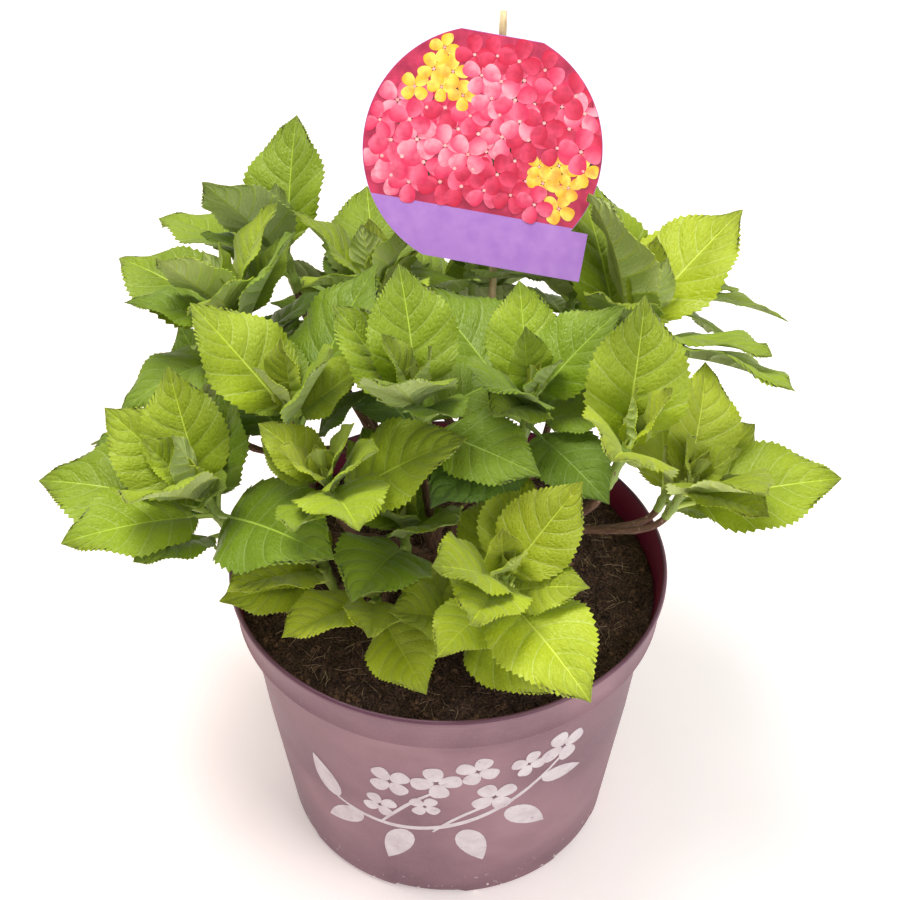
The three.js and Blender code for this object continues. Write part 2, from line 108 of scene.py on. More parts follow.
@dataclass(frozen=True)
class CardSize:
    """Place and outline of the picture card and its stick, in millimetres and degrees."""

    centre: tuple[float, float, float] = (17.0, 84.0, 366.0)
    lean: float = 30.0
    turn: float = 10.0
    radius: float = 59.0
    flat: float = 55.5
    tab_right: float = 58.5
    tab_top: float = -31.5
    thickness: float = 0.8
    stick_radius: float = 2.0
    stick_foot: tuple[float, float] = (20.0, 60.0)
    stick_depth: float = 35.0
    stick_above: float = 12.0
    stick_offset: float = 2.6


@dataclass(frozen=True)
class ShootRow:
    """One shoot: its tip, the bearing of its widest leaves, leaf length, pairs, droop and tone.

    A side limb also names the limb it forks from, and the share of that limb at the fork.
    """

    name: str
    tip: tuple[float, float, float]
    bearing: float
    leaf: float
    pairs: int
    droop: float
    tone: float
    parent: str = ""
    at: float = 0.0


@dataclass(frozen=True)
class Rank:
    """One pair of leaves, counted from the tip down."""

    drop: float
    share: float
    open: float
    bend: float
    fold: float
    stalk: float
    apart: float


SHOOTS = (
    ShootRow("front_right", (26, -82, 238), -57, 70, 3, -6, 0.0),
    ShootRow("left", (-122, -24, 240), 168, 85, 3, -12, 1.2),
    ShootRow("front_left", (-57, -48, 268), 20, 80, 3, 6, 0.8),
    ShootRow("right", (84, -38, 278), -22, 88, 3, -11, 0.4),
    ShootRow("middle", (-14, -30, 302), -15, 76, 4, -6, 1.5),
    ShootRow("back_left", (-87, 105, 298), 150, 82, 3, -14, 1.6),
    ShootRow("back_right", (96, 62, 282), 104, 92, 3, -12, 0.8),
    ShootRow("back", (14, 128, 280), 75, 76, 4, 0, 1.2),
    ShootRow("left_upper", (-110, 54, 296), 146, 70, 4, -22, 1.2, "left", 0.45),
    ShootRow("left_middle", (-76, -18, 286), 45, 76, 4, -10, 1.4, "left", 0.5),
    ShootRow("right_low", (112, -4, 222), 14, 74, 2, 10, 0.5, "right", 0.3),
    ShootRow("centre_right", (40, -10, 288), 125, 78, 4, -4, 1.6, "middle", 0.45),
    ShootRow("front_low", (6, -62, 192), -70, 52, 3, 8, 0.3, "front_right", 0.3),
    ShootRow("front_left_low", (-36, -56, 200), -50, 70, 3, 14, 0.0, "front_left", 0.3),
    ShootRow("left_front_low", (-62, -42, 208), 152, 66, 3, 4, 0.1, "front_left", 0.35),
    ShootRow("far_right", (124, 98, 284), -20, 58, 4, 2, 0.8, "back_right", 0.5),
    ShootRow("back_right_low", (70, 134, 250), 60, 78, 3, 4, 1.3, "back_right", 0.35),
    ShootRow("back_left_low", (-52, 138, 244), 120, 78, 3, 4, 1.5, "back_left", 0.35),
    ShootRow("middle_back", (-38, 80, 292), 75, 70, 4, -6, 0.9, "back", 0.4),
    ShootRow("left_back_low", (-122, 66, 226), 165, 74, 3, 4, 1.5, "back_left", 0.3),
    ShootRow("middle_low", (-22, -36, 226), 70, 66, 3, 0, 1.3, "middle", 0.3),
    ShootRow("far_back", (10, 160, 224), 95, 76, 3, 6, 1.4, "back", 0.5),
    ShootRow("right_front", (116, -34, 252), -2, 78, 3, -4, 0.4, "right", 0.4),
)

RANKS = (
    Rank(2, 0.44, 27, -12, 0.5, 3, 2),
    Rank(9, 0.82, 42, 16, 0.46, 6, 3.5),
    Rank(20, 1.0, 66, 22, 0.36, 11, 4),
    Rank(34, 1.0, 84, 28, 0.28, 14, 4),
)


@dataclass(frozen=True)
class LimbSize:
    """Sizes of the woody limbs in millimetres."""

    main_root: float = 3.4
    main_tip: float = 2.4
    branch_root: float = 2.5
    branch_tip: float = 2.1
    stem_tip: float = 1.6
    stem_foot: float = 6.0
    splay: float = 0.8
    fork_pull: float = 0.9
    root_reach: float = 0.4
    tip_reach: float = 0.3
    lean: float = 0.0032
    first_bearing: float = -189.0
    crown_base: float = 26.0
    crown_top: float = 18.0
    crown_height: float = 14.0
    ring: float = 10.0
    sink: float = 5.0
    clear: float = 0.3


@dataclass(frozen=True)
class BladeSize:
    """Proportions that all blades share."""

    full_leaf: float = 80.0
    width_share: float = 0.69
    base_taper: float = 0.8
    tip_taper: float = 1.12
    widest: float = 0.417
    edge_curl: float = 0.22


@dataclass(frozen=True)
class GrowthSize:
    """Spreads, tries and gaps of the growth rule.

    The spreads are of a leaf's turn, opening, roll, size and bend.
    """

    seed: int = 11
    spreads: tuple[float, ...] = (9.0, 7.0, 14.0, 0.1, 12.0)
    sizes: tuple[float, ...] = (1, 0.9, 0.8, 0.68)
    lifts: tuple[float, ...] = (0, -9, 9, 18, -18, 27)
    swings: tuple[float, ...] = (0, 12, -12, 24, -24)
    leaf_gap: float = 6.0
    limb_gap: float = 6.0
    own_limb_gap: float = 5.0
    card_gap: float = 6.0
    reach_pad: float = 8.0
    limb_pitch: float = 7.0
    compost_gap: float = 4.0
    compost_reach: float = 3.0
    rim_inside: float = 100.0
    rim_outside: float = 128.0
    rim_gap: float = 5.0
    lowest: float = 60.0
    fill_closeness: float = 0.5
    fill_turns: tuple[float, ...] = (0, 45)
    fill_sizes: tuple[float, ...] = (0.84, 0.66, 0.5)
    fill_lifts: tuple[float, ...] = (0, 12, -12, 24, -24)
    fill_swings: tuple[float, ...] = (0, 14, -14)
    fill_spreads: tuple[float, ...] = (12.0, 10.0, 16.0, 0.12, 12.0)
    bare_nodes: tuple[tuple[str, int], ...] = (("right", 3), ("right_low", 1), ("right_low", 2))


LIMB = LimbSize()
BLADE = BladeSize()
GROWTH = GrowthSize()
CARD = CardSize()
POT = PotSize(rim_radius=115.0, height=round(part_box("pot")[1].z / MM, 3))
LENGTH_SAMPLES = (0.14, 0.26, 0.38, 0.49, 0.6, 0.7, 0.8, 0.9, 1.0)
WIDTH_SAMPLES = (-1, -0.75, -0.5, -0.25, 0, 0.25, 0.5, 0.75, 1)
NET_ROWS = np.linspace(0.06, 0.97, 16)
NET_COLUMNS = np.linspace(-1, 1, 9)
INNER_STATIONS = 2


# ---------------------------------------------------------------- the growth rule
class Dice:
    """Linear congruential generator: the same numbers on every machine."""

    def __init__(self, seed: int) -> None:
        """Starts the generator.

        Args:
            seed: first state.
        """
        self.state = seed

    def next(self) -> float:
        """Returns the next number from 0 up to 1."""
        self.state = (self.state * 1664525 + 1013904223) % 4294967296
        return self.state / 4294967296

    def spread(self, half: float) -> float:
        """Returns a number between -half and half."""
        return (2 * self.next() - 1) * half

    def between(self, low: float, high: float) -> float:
        """Returns a number between low and high."""
        return low + (high - low) * self.next()


def unit(vector: np.ndarray) -> np.ndarray:
    """Returns the vector at length 1."""
    return vector / np.linalg.norm(vector)


def fan(axis: np.ndarray, bearing: float, opening: float) -> tuple[np.ndarray, np.ndarray]:
    """Returns the direction of a leaf and that of its upper face.

    Args:
        axis: direction of the stem.
        bearing: its bearing round the stem, in radians.
        opening: the angle between the stem and the leaf, in radians.

    Returns:
        The two directions.
    """
    level = np.array([math.cos(bearing), math.sin(bearing), 0.0])
    out = unit(level - axis * float(level @ axis))
    along = axis * math.cos(opening) + out * math.sin(opening)
    return along, axis * math.sin(opening) - out * math.cos(opening)


@dataclass
class Guard:
    """A set of points with the sphere that holds them."""

    points: np.ndarray
    centre: np.ndarray = field(init=False)
    radius: float = field(init=False)

    def __post_init__(self) -> None:
        """Works out the sphere."""
        self.centre = self.points.mean(axis=0)
        self.radius = float(np.linalg.norm(self.points - self.centre, axis=1).max())

    def may_meet(self, other: "Guard", gap: float) -> bool:
        """Returns True where the two sets may come nearer to each other than the gap."""
        return np.linalg.norm(self.centre - other.centre) <= self.radius + other.radius + gap


def separation(a: np.ndarray, b: np.ndarray) -> float:
    """Returns the least distance between two sets of points."""
    apart = a[:, None, :] - b[None, :, :]
    return math.sqrt(float((apart * apart).sum(axis=2).min()))


@dataclass
class Curve:
    """A cubic Bezier curve through space."""

    controls: np.ndarray

    def point(self, t: float) -> np.ndarray:
        """Returns the point at t from 0 to 1."""
        a, b, c, d = self.controls
        u = 1 - t
        return u**3 * a + 3 * u * u * t * b + 3 * u * t * t * c + t**3 * d

    def tangent(self, t: float) -> np.ndarray:
        """Returns the direction at t from 0 to 1."""
        step = 0.0001
        return unit(self.point(min(t + step, 1)) - self.point(max(t - step, 0)))


@dataclass
class Shoot:
    """A woody limb with the green stem at its tip."""

    row: ShootRow
    curve: Curve
    tip: np.ndarray
    axis: np.ndarray
    collar: np.ndarray
    scale: float
    guard: Guard = field(init=False)

    def __post_init__(self) -> None:
        """Works out the points that leaves keep clear of."""
        self.guard = Guard(self.guard_points())

    def guard_points(self) -> np.ndarray:
        """Returns points along the limb and the green stem."""
        reach = float(np.linalg.norm(self.collar - self.curve.controls[0]))
        steps = max(4, math.floor(reach / GROWTH.limb_pitch))
        points = [self.curve.point(i / steps) for i in range(steps + 1)]
        stem = float(np.linalg.norm(self.tip - self.collar))
        stem_steps = max(2, math.ceil(stem / GROWTH.limb_pitch))
        points += [self.collar + (self.tip - self.collar) * i / stem_steps for i in range(1, stem_steps)]
        return np.array(points)

    def radii(self) -> tuple[float, float]:
        """Returns the limb's radius at its root and at its tip."""
        if self.row.parent:
            return LIMB.branch_root, LIMB.branch_tip
        return LIMB.main_root, LIMB.main_tip


@dataclass
class Leaf:
    """One leaf in its place: a stalk, and a blade with its own bend and fold."""

    shoot: Shoot
    rank: int
    root: np.ndarray
    along: np.ndarray
    up: np.ndarray
    base: np.ndarray
    length: float
    bend: float
    fold: float
    side: np.ndarray = field(init=False)
    guard: Guard | None = None
    outer: np.ndarray | None = None

    def __post_init__(self) -> None:
        """Works out the direction across the blade."""
        self.side = np.cross(self.along, self.up)

    def half_width(self, t: np.ndarray) -> np.ndarray:
        """Returns half the blade's width at fractions t of its length."""
        peak = BLADE.widest**BLADE.base_taper * (1 - BLADE.widest) ** BLADE.tip_taper
        shape = t**BLADE.base_taper * (1 - t) ** BLADE.tip_taper / peak
        return BLADE.width_share * self.length / 2 * shape

    def place(self, t: np.ndarray, across: np.ndarray, off: np.ndarray) -> np.ndarray:
        """Places points of the blade.

        Args:
            t: fractions of the length, 0 at the base and 1 at the tip.
            across: distances from the midrib.
            off: distances off the bent midrib, towards the upper face.

        Returns:
            The points, one row each.
        """
        bend = math.radians(self.bend)
        turn = bend * t
        ahead = self.length * np.sin(turn) / bend + off * np.sin(turn)
        above = -self.length * (1 - np.cos(turn)) / bend + off * np.cos(turn)
        return (
            self.base
            + ahead[:, None] * self.along
            + above[:, None] * self.up
            + across[:, None] * self.side
        )

    def smooth_face(self, rows: Sequence[float], columns: Sequence[float]) -> np.ndarray:
        """Returns points of the blade before its relief.

        Args:
            rows: fractions of its length.
            columns: fractions of its half width, from -1 to 1.

        Returns:
            The points, row by row.
        """
        t, s = (grid.ravel() for grid in np.meshgrid(rows, columns, indexing="ij"))
        width = self.half_width(t)
        return self.place(t, s * width, width * (self.fold * np.abs(s) - BLADE.edge_curl * s * s))

    def samples(self) -> np.ndarray:
        """Returns the points by which the leaf is tried for room."""
        return self.smooth_face(LENGTH_SAMPLES, WIDTH_SAMPLES)

    def net(self) -> BVHTree:
        """Returns a coarse net of the blade, by which crossings with other blades are found."""
        points = self.smooth_face(NET_ROWS, NET_COLUMNS)
        count = len(NET_COLUMNS)
        corners = (i * count + j for i in range(len(NET_ROWS) - 1) for j in range(count - 1))
        faces = [(k, k + 1, k + count + 1, k + count) for k in corners]
        return BVHTree.FromPolygons([tuple(point) for point in points], faces)


class Card:
    """Axes of the picture card and the ends of its stick, in millimetres."""

    def __init__(self) -> None:
        """Works out the axes and the ends."""
        lean, turn = math.radians(CARD.lean), math.radians(CARD.turn)
        rise = np.array([0, math.sin(lean), math.cos(lean)])
        level = np.array([1.0, 0, 0])
        self.centre = np.array(CARD.centre)
        self.up = rise * math.cos(turn) + level * math.sin(turn)
        self.right = level * math.cos(turn) - rise * math.sin(turn)
        self.front = np.cross(self.right, self.up)
        behind = CARD.thickness + CARD.stick_offset
        touch = self.centre + self.up * CARD.flat - self.front * behind
        self.foot = np.array([*CARD.stick_foot, POT.compost_top])
        run = unit(touch - self.foot)
        self.low = self.foot - run * CARD.stick_depth
        self.high = touch + run * CARD.stick_above

    def guard_points(self) -> np.ndarray:
        """Returns points of the card and the stick that leaves keep clear of."""
        cells = 6
        pitch = CARD.radius / cells
        points = []
        for i in range(-cells, cells + 1):
            for j in range(-cells, cells + 1):
                in_tab = i > 0 and j * pitch < CARD.tab_top
                if math.hypot(i, j) <= cells + 0.2 or in_tab:
                    points.append(self.centre + self.right * i * pitch + self.up * j * pitch)
        steps = math.ceil(2 * np.linalg.norm(self.foot - self.high) / pitch)
        points += [self.foot + (self.high - self.foot) * i / steps for i in range(steps + 1)]
        return np.array(points)


class Growth:
    """The seeded rule that grows the shoots and their leaves."""

    def __init__(self, card: Card) -> None:
        """Grows the plant.

        Args:
            card: the card that leaves keep clear of.
        """
        self.shoots = self.grow_shoots()
        self.card_points = card.guard_points()
        self.leaves: list[Leaf] = []
        self.placed: set[tuple[str, int, int]] = set()
        self.closeness = 1.0
        self.filled = 0
        self.grow_leaves()

    def grow_shoots(self) -> dict[str, Shoot]:
        """Returns each shoot by its name."""
        mains = [row for row in SHOOTS if not row.parent]
        order = sorted(mains, key=lambda row: math.atan2(row.tip[1], row.tip[0]))
        step = 360 / len(mains)
        bearing = {row.name: math.radians(LIMB.first_bearing + step * i) for i, row in enumerate(order)}
        shoots: dict[str, Shoot] = {}
        for row in SHOOTS:
            tip = np.array(row.tip, float)
            axis = unit(np.array([tip[0] * LIMB.lean, tip[1] * LIMB.lean, 1.0]))
            scale = row.leaf / BLADE.full_leaf
            collar = tip - axis * (RANKS[row.pairs - 1].drop * scale + LIMB.stem_foot)
            if row.parent:
                parent = shoots[row.parent].curve
                root = parent.point(row.at)
                start = unit(parent.tangent(row.at) + unit(collar - root) * LIMB.fork_pull)
            else:
                cos, sin = math.cos(bearing[row.name]), math.sin(bearing[row.name])
                top = POT.compost_top + LIMB.clear + LIMB.crown_height - LIMB.sink
                root = np.array([LIMB.ring * cos, LIMB.ring * sin, top])
                start = unit(np.array([LIMB.splay * cos, LIMB.splay * sin, 1.0]))
            reach = float(np.linalg.norm(collar - root))
            before = collar - axis * reach * LIMB.tip_reach
            curve = Curve(np.array([root, root + start * reach * LIMB.root_reach, before, collar]))
            shoots[row.name] = Shoot(row, curve, tip, axis, collar, scale)
        return shoots

    def make_leaf(
        self, shoot: Shoot, rank: int, side: int, own: Sequence[float], size: float, lift: float, swing: float
    ) -> Leaf:
        """Makes one leaf before it is tried for room.

        Args:
            shoot: the shoot that carries it.
            rank: its pair, counted from the tip.
            side: 0 or 1, which leaf of the pair.
            own: its own turn, opening, roll, size and bend.
            size: share of its full length.
            lift: degrees by which it closes towards the stem.
            swing: degrees by which it swings round the stem.

        Returns:
            The leaf.
        """
        row = RANKS[rank]
        bearing = math.radians(shoot.row.bearing + 90 * (2 - rank) + 180 * side + own[0] + swing)
        opening = math.radians(row.open + shoot.row.droop + own[1] - lift)
        along, face = fan(shoot.axis, bearing, opening)
        roll = math.radians(own[2])
        root = shoot.tip - shoot.axis * row.drop * shoot.scale
        return Leaf(
            shoot=shoot,
            rank=rank,
            root=root,
            along=along,
            up=face * math.cos(roll) + np.cross(along, face) * math.sin(roll),
            base=root + along * row.stalk * shoot.scale,
            length=shoot.row.leaf * row.share * (1 + own[3]) * size,
            bend=row.bend + own[4],
            fold=row.fold,
        )

    def clears_pot(self, points: np.ndarray) -> bool:
        """Returns True where all points keep off the compost, the rim and the floor."""
        radius = np.hypot(points[:, 0], points[:, 1])
        height = points[:, 2]
        beside = radius >= POT.rim_radius + GROWTH.compost_reach
        over_compost = beside | (height >= POT.compost_top + GROWTH.compost_gap)
        near_rim = (radius > GROWTH.rim_inside) & (radius < GROWTH.rim_outside)
        over_rim = ~near_rim | (height >= POT.height + GROWTH.rim_gap)
        return bool((over_compost & over_rim & (height >= GROWTH.lowest)).all())

    def has_room(self, leaf: Leaf) -> bool:
        """Tries a leaf for room, and gives it its guard points where it has it.

        Args:
            leaf: the leaf to try.

        Returns:
            True where it touches nothing.
        """
        points = leaf.samples()
        card_room = GROWTH.card_gap * self.closeness
        if not self.clears_pot(points) or separation(points, self.card_points) < card_room:
            return False
        outer = points[INNER_STATIONS * len(WIDTH_SAMPLES) :]
        guard = Guard(np.vstack([points, (leaf.root + leaf.base) / 2, leaf.base]))
        for shoot in self.shoots.values():
            if not guard.may_meet(shoot.guard, GROWTH.reach_pad):
                continue
            own = shoot is leaf.shoot
            gap = GROWTH.own_limb_gap if own else GROWTH.limb_gap
            if separation(outer if own else guard.points, shoot.guard.points) < gap * self.closeness:
                return False
        for other in self.leaves:
            if not guard.may_meet(other.guard, GROWTH.leaf_gap):
                continue
            own = other.shoot is leaf.shoot
            gap = RANKS[min(leaf.rank, other.rank)].apart if own else GROWTH.leaf_gap
            mine, theirs = (outer, other.outer) if own else (guard.points, other.guard.points)
            if separation(mine, theirs) < gap * self.closeness:
                return False
        leaf.guard = guard
        leaf.outer = outer
        return True

    def find_room(self, shoot: Shoot, rank: int, side: int, own: Sequence[float]) -> Leaf | None:
        """Returns the leaf at the first size, lift and swing at which it has room, or None."""
        for size, lift, swing in itertools.product(GROWTH.sizes, GROWTH.lifts, GROWTH.swings):
            leaf = self.make_leaf(shoot, rank, side, own, size, lift, swing)
            if self.has_room(leaf):
                return leaf
        return None

    def grow_leaves(self) -> None:
        """Grows all leaves, the top pairs first."""
        dice = Dice(GROWTH.seed)
        for rank in range(len(RANKS)):
            for shoot in self.shoots.values():
                if rank >= shoot.row.pairs:
                    continue
                for side in (0, 1):
                    own = [dice.spread(half) for half in GROWTH.spreads]
                    leaf = self.find_room(shoot, rank, side, own)
                    if leaf is not None:
                        self.leaves.append(leaf)
                        self.placed.add((shoot.row.name, rank, side))

    def fill_gaps(self) -> None:
        """Grows the leaves that only thin blades have room for, each within the reach of its mass."""
        dice = Dice(GROWTH.seed + 1)
        self.closeness = GROWTH.fill_closeness
        nets = [(leaf.shoot, leaf.net()) for leaf in self.leaves]
        for rank in range(1, len(RANKS)):
            for shoot in self.shoots.values():
                low, high = (np.array(corner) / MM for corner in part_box(f"leaves_{shoot.row.name}"))
                for side, turn in itertools.product((0, 1), GROWTH.fill_turns):
                    own = [dice.spread(half) for half in GROWTH.fill_spreads]
                    own[0] += turn
                    taken = turn == 0 and (shoot.row.name, rank, side) in self.placed
                    if taken or rank > shoot.row.pairs or (shoot.row.name, rank) in GROWTH.bare_nodes:
                        continue
                    for size, lift, swing in itertools.product(
                        GROWTH.fill_sizes, GROWTH.fill_lifts, GROWTH.fill_swings
                    ):
                        leaf = self.make_leaf(shoot, rank, side, own, size, lift, swing)
                        points = leaf.samples()
                        if not ((points > low) & (points < high)).all() or not self.has_room(leaf):
                            continue
                        net = leaf.net()
                        if not any(net.overlap(other) for owner, other in nets if owner is shoot):
                            self.leaves.append(leaf)
                            nets.append((shoot, net))
                            self.filled += 1
                            break


# ---------------------------------------------------------------- finishes
def srgb(red: int, green: int, blue: int) -> Color:
    """Returns a linear colour from its 8-bit display values."""

    def linear(value: int) -> float:
        share = value / 255
        return share / 12.92 if share <= 0.04045 else ((share + 0.055) / 1.055) ** 2.4

    return linear(red), linear(green), linear(blue)


def srgb_row(*values: tuple[int, int, int]) -> tuple[Color, ...]:
    """Returns a row of linear colours from their 8-bit display values."""
    return tuple(srgb(*value) for value in values)


def blend_colors(a: Color, b: Color, share: float) -> Color:
    """Returns the colour at the given share of the way from a to b."""
    return tuple(x + (y - x) * share for x, y in zip(a, b))


class Paint:
    """The node graph of one finish."""

    def __init__(self, name: str) -> None:
        """Starts an empty graph.

        Args:
            name: name of the material.
        """
        self.material = bpy.data.materials.new(name)
        self.material.use_nodes = True
        self.tree = self.material.node_tree
        self.tree.nodes.clear()
        self.output = self.tree.nodes.new("ShaderNodeOutputMaterial")
        self.place = self.add("ShaderNodeTexCoord").outputs

    def add(self, kind: str, inputs: dict | None = None, **settings: object) -> bpy.types.Node:
        """Adds a node.

        Args:
            kind: type of the node.
            inputs: sockets or numbers by the name or index of the input.
            settings: properties of the node.

        Returns:
            The node.
        """
        node = self.tree.nodes.new(kind)
        for key, value in settings.items():
            setattr(node, key, value)
        for key, value in (inputs or {}).items():
            socket = node.inputs[key]
            if isinstance(value, Socket):
                self.tree.links.new(value, socket)
            elif socket.type == "RGBA" and not isinstance(value, (int, float)):
                socket.default_value = (*value[:3], 1.0)
            else:
                socket.default_value = value
        return node

    def stretch(self, vector: Socket, scale: tuple[float, float, float]) -> Socket:
        """Returns the coordinates scaled along each axis."""
        return self.add("ShaderNodeMapping", {"Vector": vector, "Scale": scale}).outputs[0]

    def noise(self, scale: float, detail: float = 3.0, vector: Socket | None = None) -> Socket:
        """Returns a soft noise, on Object coordinates where no vector is given."""
        vector = self.place["Object"] if vector is None else vector
        inputs = {"Vector": vector, "Scale": scale, "Detail": detail}
        return self.add("ShaderNodeTexNoise", inputs).outputs["Fac"]

    def cells(self, scale: float, vector: Socket | None = None) -> Socket:
        """Returns the distance to the borders of random cells."""
        vector = self.place["Object"] if vector is None else vector
        inputs = {"Vector": vector, "Scale": scale}
        return self.add("ShaderNodeTexVoronoi", inputs, feature="DISTANCE_TO_EDGE").outputs["Distance"]

    def band(
        self, value: Socket, low: float, high: float, first: float = 0.0, last: float = 1.0
    ) -> Socket:
        """Returns the value carried from the range low to high into the range first to last."""
        inputs = {"Value": value, "From Min": low, "From Max": high, "To Min": first, "To Max": last}
        return self.add("ShaderNodeMapRange", inputs).outputs[0]

    def math(self, operation: str, a: object, b: object = 0.0) -> Socket:
        """Returns the result of an operation on two sockets or numbers."""
        return self.add("ShaderNodeMath", {0: a, 1: b}, operation=operation).outputs[0]

    def mix(self, share: object, a: object, b: object) -> Socket:
        """Returns the mix of two colours."""
        return self.add("ShaderNodeMix", {0: share, 6: a, 7: b}, data_type="RGBA").outputs[2]

    def bump(self, height: Socket, depth: float) -> Socket:
        """Returns a normal with relief.

        Args:
            height: relief from 0 to 1.
            depth: its depth in metres.

        Returns:
            The normal.
        """
        inputs = {"Height": height, "Distance": depth, "Strength": 1.0}
        return self.add("ShaderNodeBump", inputs).outputs[0]

    def surface(self, **inputs: object) -> Socket:
        """Returns the surface shader; underscores stand for spaces in the names of its inputs."""
        named = {key.replace("_", " "): value for key, value in inputs.items()}
        return self.add("ShaderNodeBsdfPrincipled", named).outputs[0]

    def done(self, shader: Socket) -> Material:
        """Ends the graph with its shader and returns the material."""
        self.tree.links.new(shader, self.output.inputs["Surface"])
        return self.material

    def thin(self, shader: Socket, color: Socket, share: float) -> Material:
        """Ends the graph with a shader that lets the share of the light through."""
        through = self.add("ShaderNodeBsdfTranslucent", {"Color": color}).outputs[0]
        return self.done(self.add("ShaderNodeMixShader", {0: share, 1: shader, 2: through}).outputs[0])

    def coat(self, **inputs: object) -> Material:
        """Ends the graph with one surface shader and returns the material."""
        return self.done(self.surface(**inputs))


@dataclass(frozen=True)
class LeafTint:
    """Plain colours of one tint of leaf."""

    name: str
    upper: Color
    under: Color
    vein: Color

    def face(self, share: float = 0.0, part: str = "upper") -> Material:
        """Returns the finish of the upper face: quilted, finely netted and half glossy.

        Args:
            share: share of the vein's colour in it, for the side veins.
            part: name of the part it covers.
        """
        paint = Paint(f"leaf_{self.name}_{part}")
        blade = paint.place["UV"]
        net = paint.cells(17, paint.stretch(blade, (1.0, 1.8, 1.0)))
        fine = paint.cells(54, paint.stretch(blade, (1.0, 1.5, 1.0)))
        base = blend_colors(self.upper, self.vein, share)
        light = blend_colors(self.upper, self.vein, 0.25 + 0.75 * share)
        deep = blend_colors(base, (0.03, 0.09, 0.0), 0.4 - 0.2 * share)
        color = paint.mix(paint.band(paint.noise(40, 2), 0.3, 0.7, 0.0, 0.7), base, light)
        color = paint.mix(paint.band(paint.noise(16, 2), 0.36, 0.64), color, deep)
        color = paint.mix(paint.band(net, 0.0, 0.045, 0.3, 0.0), color, self.vein)
        color = paint.mix(paint.band(fine, 0.0, 0.06, 0.16, 0.0), color, self.vein)
        relief = paint.math("ADD", paint.band(net, 0.0, 0.35), paint.band(fine, 0.0, 0.4, 0.0, 0.35))
        rough = paint.band(paint.noise(30, 2), 0.3, 0.7, 0.32, 0.5)
        gloss = paint.surface(
            Base_Color=color,
            Roughness=rough,
            Specular_IOR_Level=0.4,
            Sheen_Weight=0.3,
            Sheen_Roughness=0.35,
            Sheen_Tint=(0.9, 1.0, 0.78),
            Normal=paint.bump(relief, 0.00028),
        )
        return paint.thin(gloss, color, 0.3)

    def back(self) -> Material:
        """Returns the finish of the under face: pale, matte, with a raised net."""
        paint = Paint(f"leaf_{self.name}_under")
        net = paint.cells(17, paint.stretch(paint.place["UV"], (1.0, 2.6, 1.0)))
        greener = blend_colors(self.under, self.upper, 0.3)
        color = paint.mix(paint.band(paint.noise(45, 3), 0.35, 0.7), self.under, greener)
        lines = blend_colors(self.vein, self.under, 0.4)
        color = paint.mix(paint.band(net, 0.0, 0.07, 0.45, 0.0), color, lines)
        matte = paint.surface(
            Base_Color=color,
            Roughness=0.68,
            Specular_IOR_Level=0.3,
            Normal=paint.bump(paint.band(net, 0.0, 0.12, 1.0, 0.0), 0.00025),
        )
        return paint.thin(matte, color, 0.16)

    def rib(self, fades: bool = True) -> Material:
        """Returns the finish of midribs, veins and leaf stalks.

        Args:
            fades: whether the pale colour fades towards the tip of the blade.
        """
        paint = Paint(f"leaf_{self.name}_{'vein' if fades else 'stalk'}")
        plain = blend_colors(self.vein, self.upper, 0.4 if fades else 0.1)
        greener = blend_colors(plain, self.upper, 0.28)
        color = paint.mix(paint.band(paint.noise(60, 3), 0.3, 0.7), plain, greener)
        if fades:
            way = paint.add("ShaderNodeSeparateXYZ", {0: paint.place["UV"]}).outputs["Y"]
            color = paint.mix(paint.band(way, 0.05, 0.7, 0.0, 0.7), color, self.upper)
        return paint.coat(
            Base_Color=color,
            Roughness=0.46,
            Specular_IOR_Level=0.4,
            Normal=paint.bump(paint.noise(900, 2), 0.0001),
        )

    def finishes(self) -> list[Material]:
        """Returns the finishes in the order of the blade's material slots."""
        return [self.face(), self.back(), self.rib(), self.face(0.7, "side_vein"), self.rib(False)]


@dataclass(frozen=True)
class TintScale:
    """Leaf tints from the youngest lime green to the oldest deep green."""

    upper: tuple[Color, ...] = srgb_row(
        (210, 222, 36), (196, 211, 28), (172, 195, 22), (140, 171, 24), (99, 136, 28)
    )
    under: tuple[Color, ...] = srgb_row(
        (222, 236, 150), (214, 230, 150), (204, 220, 150), (188, 206, 144), (172, 192, 136)
    )
    vein: tuple[Color, ...] = srgb_row(
        (228, 238, 138), (216, 230, 124), (196, 216, 112), (172, 196, 104), (146, 172, 96)
    )
    count: int = 8

    def tint(self, index: int) -> LeafTint:
        """Returns the tint at an index from 0 up to count - 1."""
        place = index / (self.count - 1) * (len(self.upper) - 1)
        low = min(int(place), len(self.upper) - 2)
        share = place - low

        def between(row: Sequence[Color]) -> Color:
            return blend_colors(row[low], row[low + 1], share)

        return LeafTint(f"tint_{index + 1}", between(self.upper), between(self.under), between(self.vein))


@dataclass(frozen=True)
class StemGreen:
    """Soft green stem with reddish flecks."""

    base: Color = srgb(148, 172, 76)
    flecks: Color = srgb(112, 74, 58)

    def material(self) -> Material:
        """Returns the finish."""
        paint = Paint("green_stem")
        fleck = paint.noise(700, 2, paint.stretch(paint.place["Object"], (1.0, 1.0, 0.35)))
        deep = blend_colors(self.base, (0.1, 0.16, 0.02), 0.4)
        color = paint.mix(paint.band(paint.noise(90), 0.3, 0.7), self.base, deep)
        color = paint.mix(paint.band(fleck, 0.62, 0.7), color, self.flecks)
        return paint.coat(Base_Color=color, Roughness=0.5, Normal=paint.bump(fleck, 0.0002))


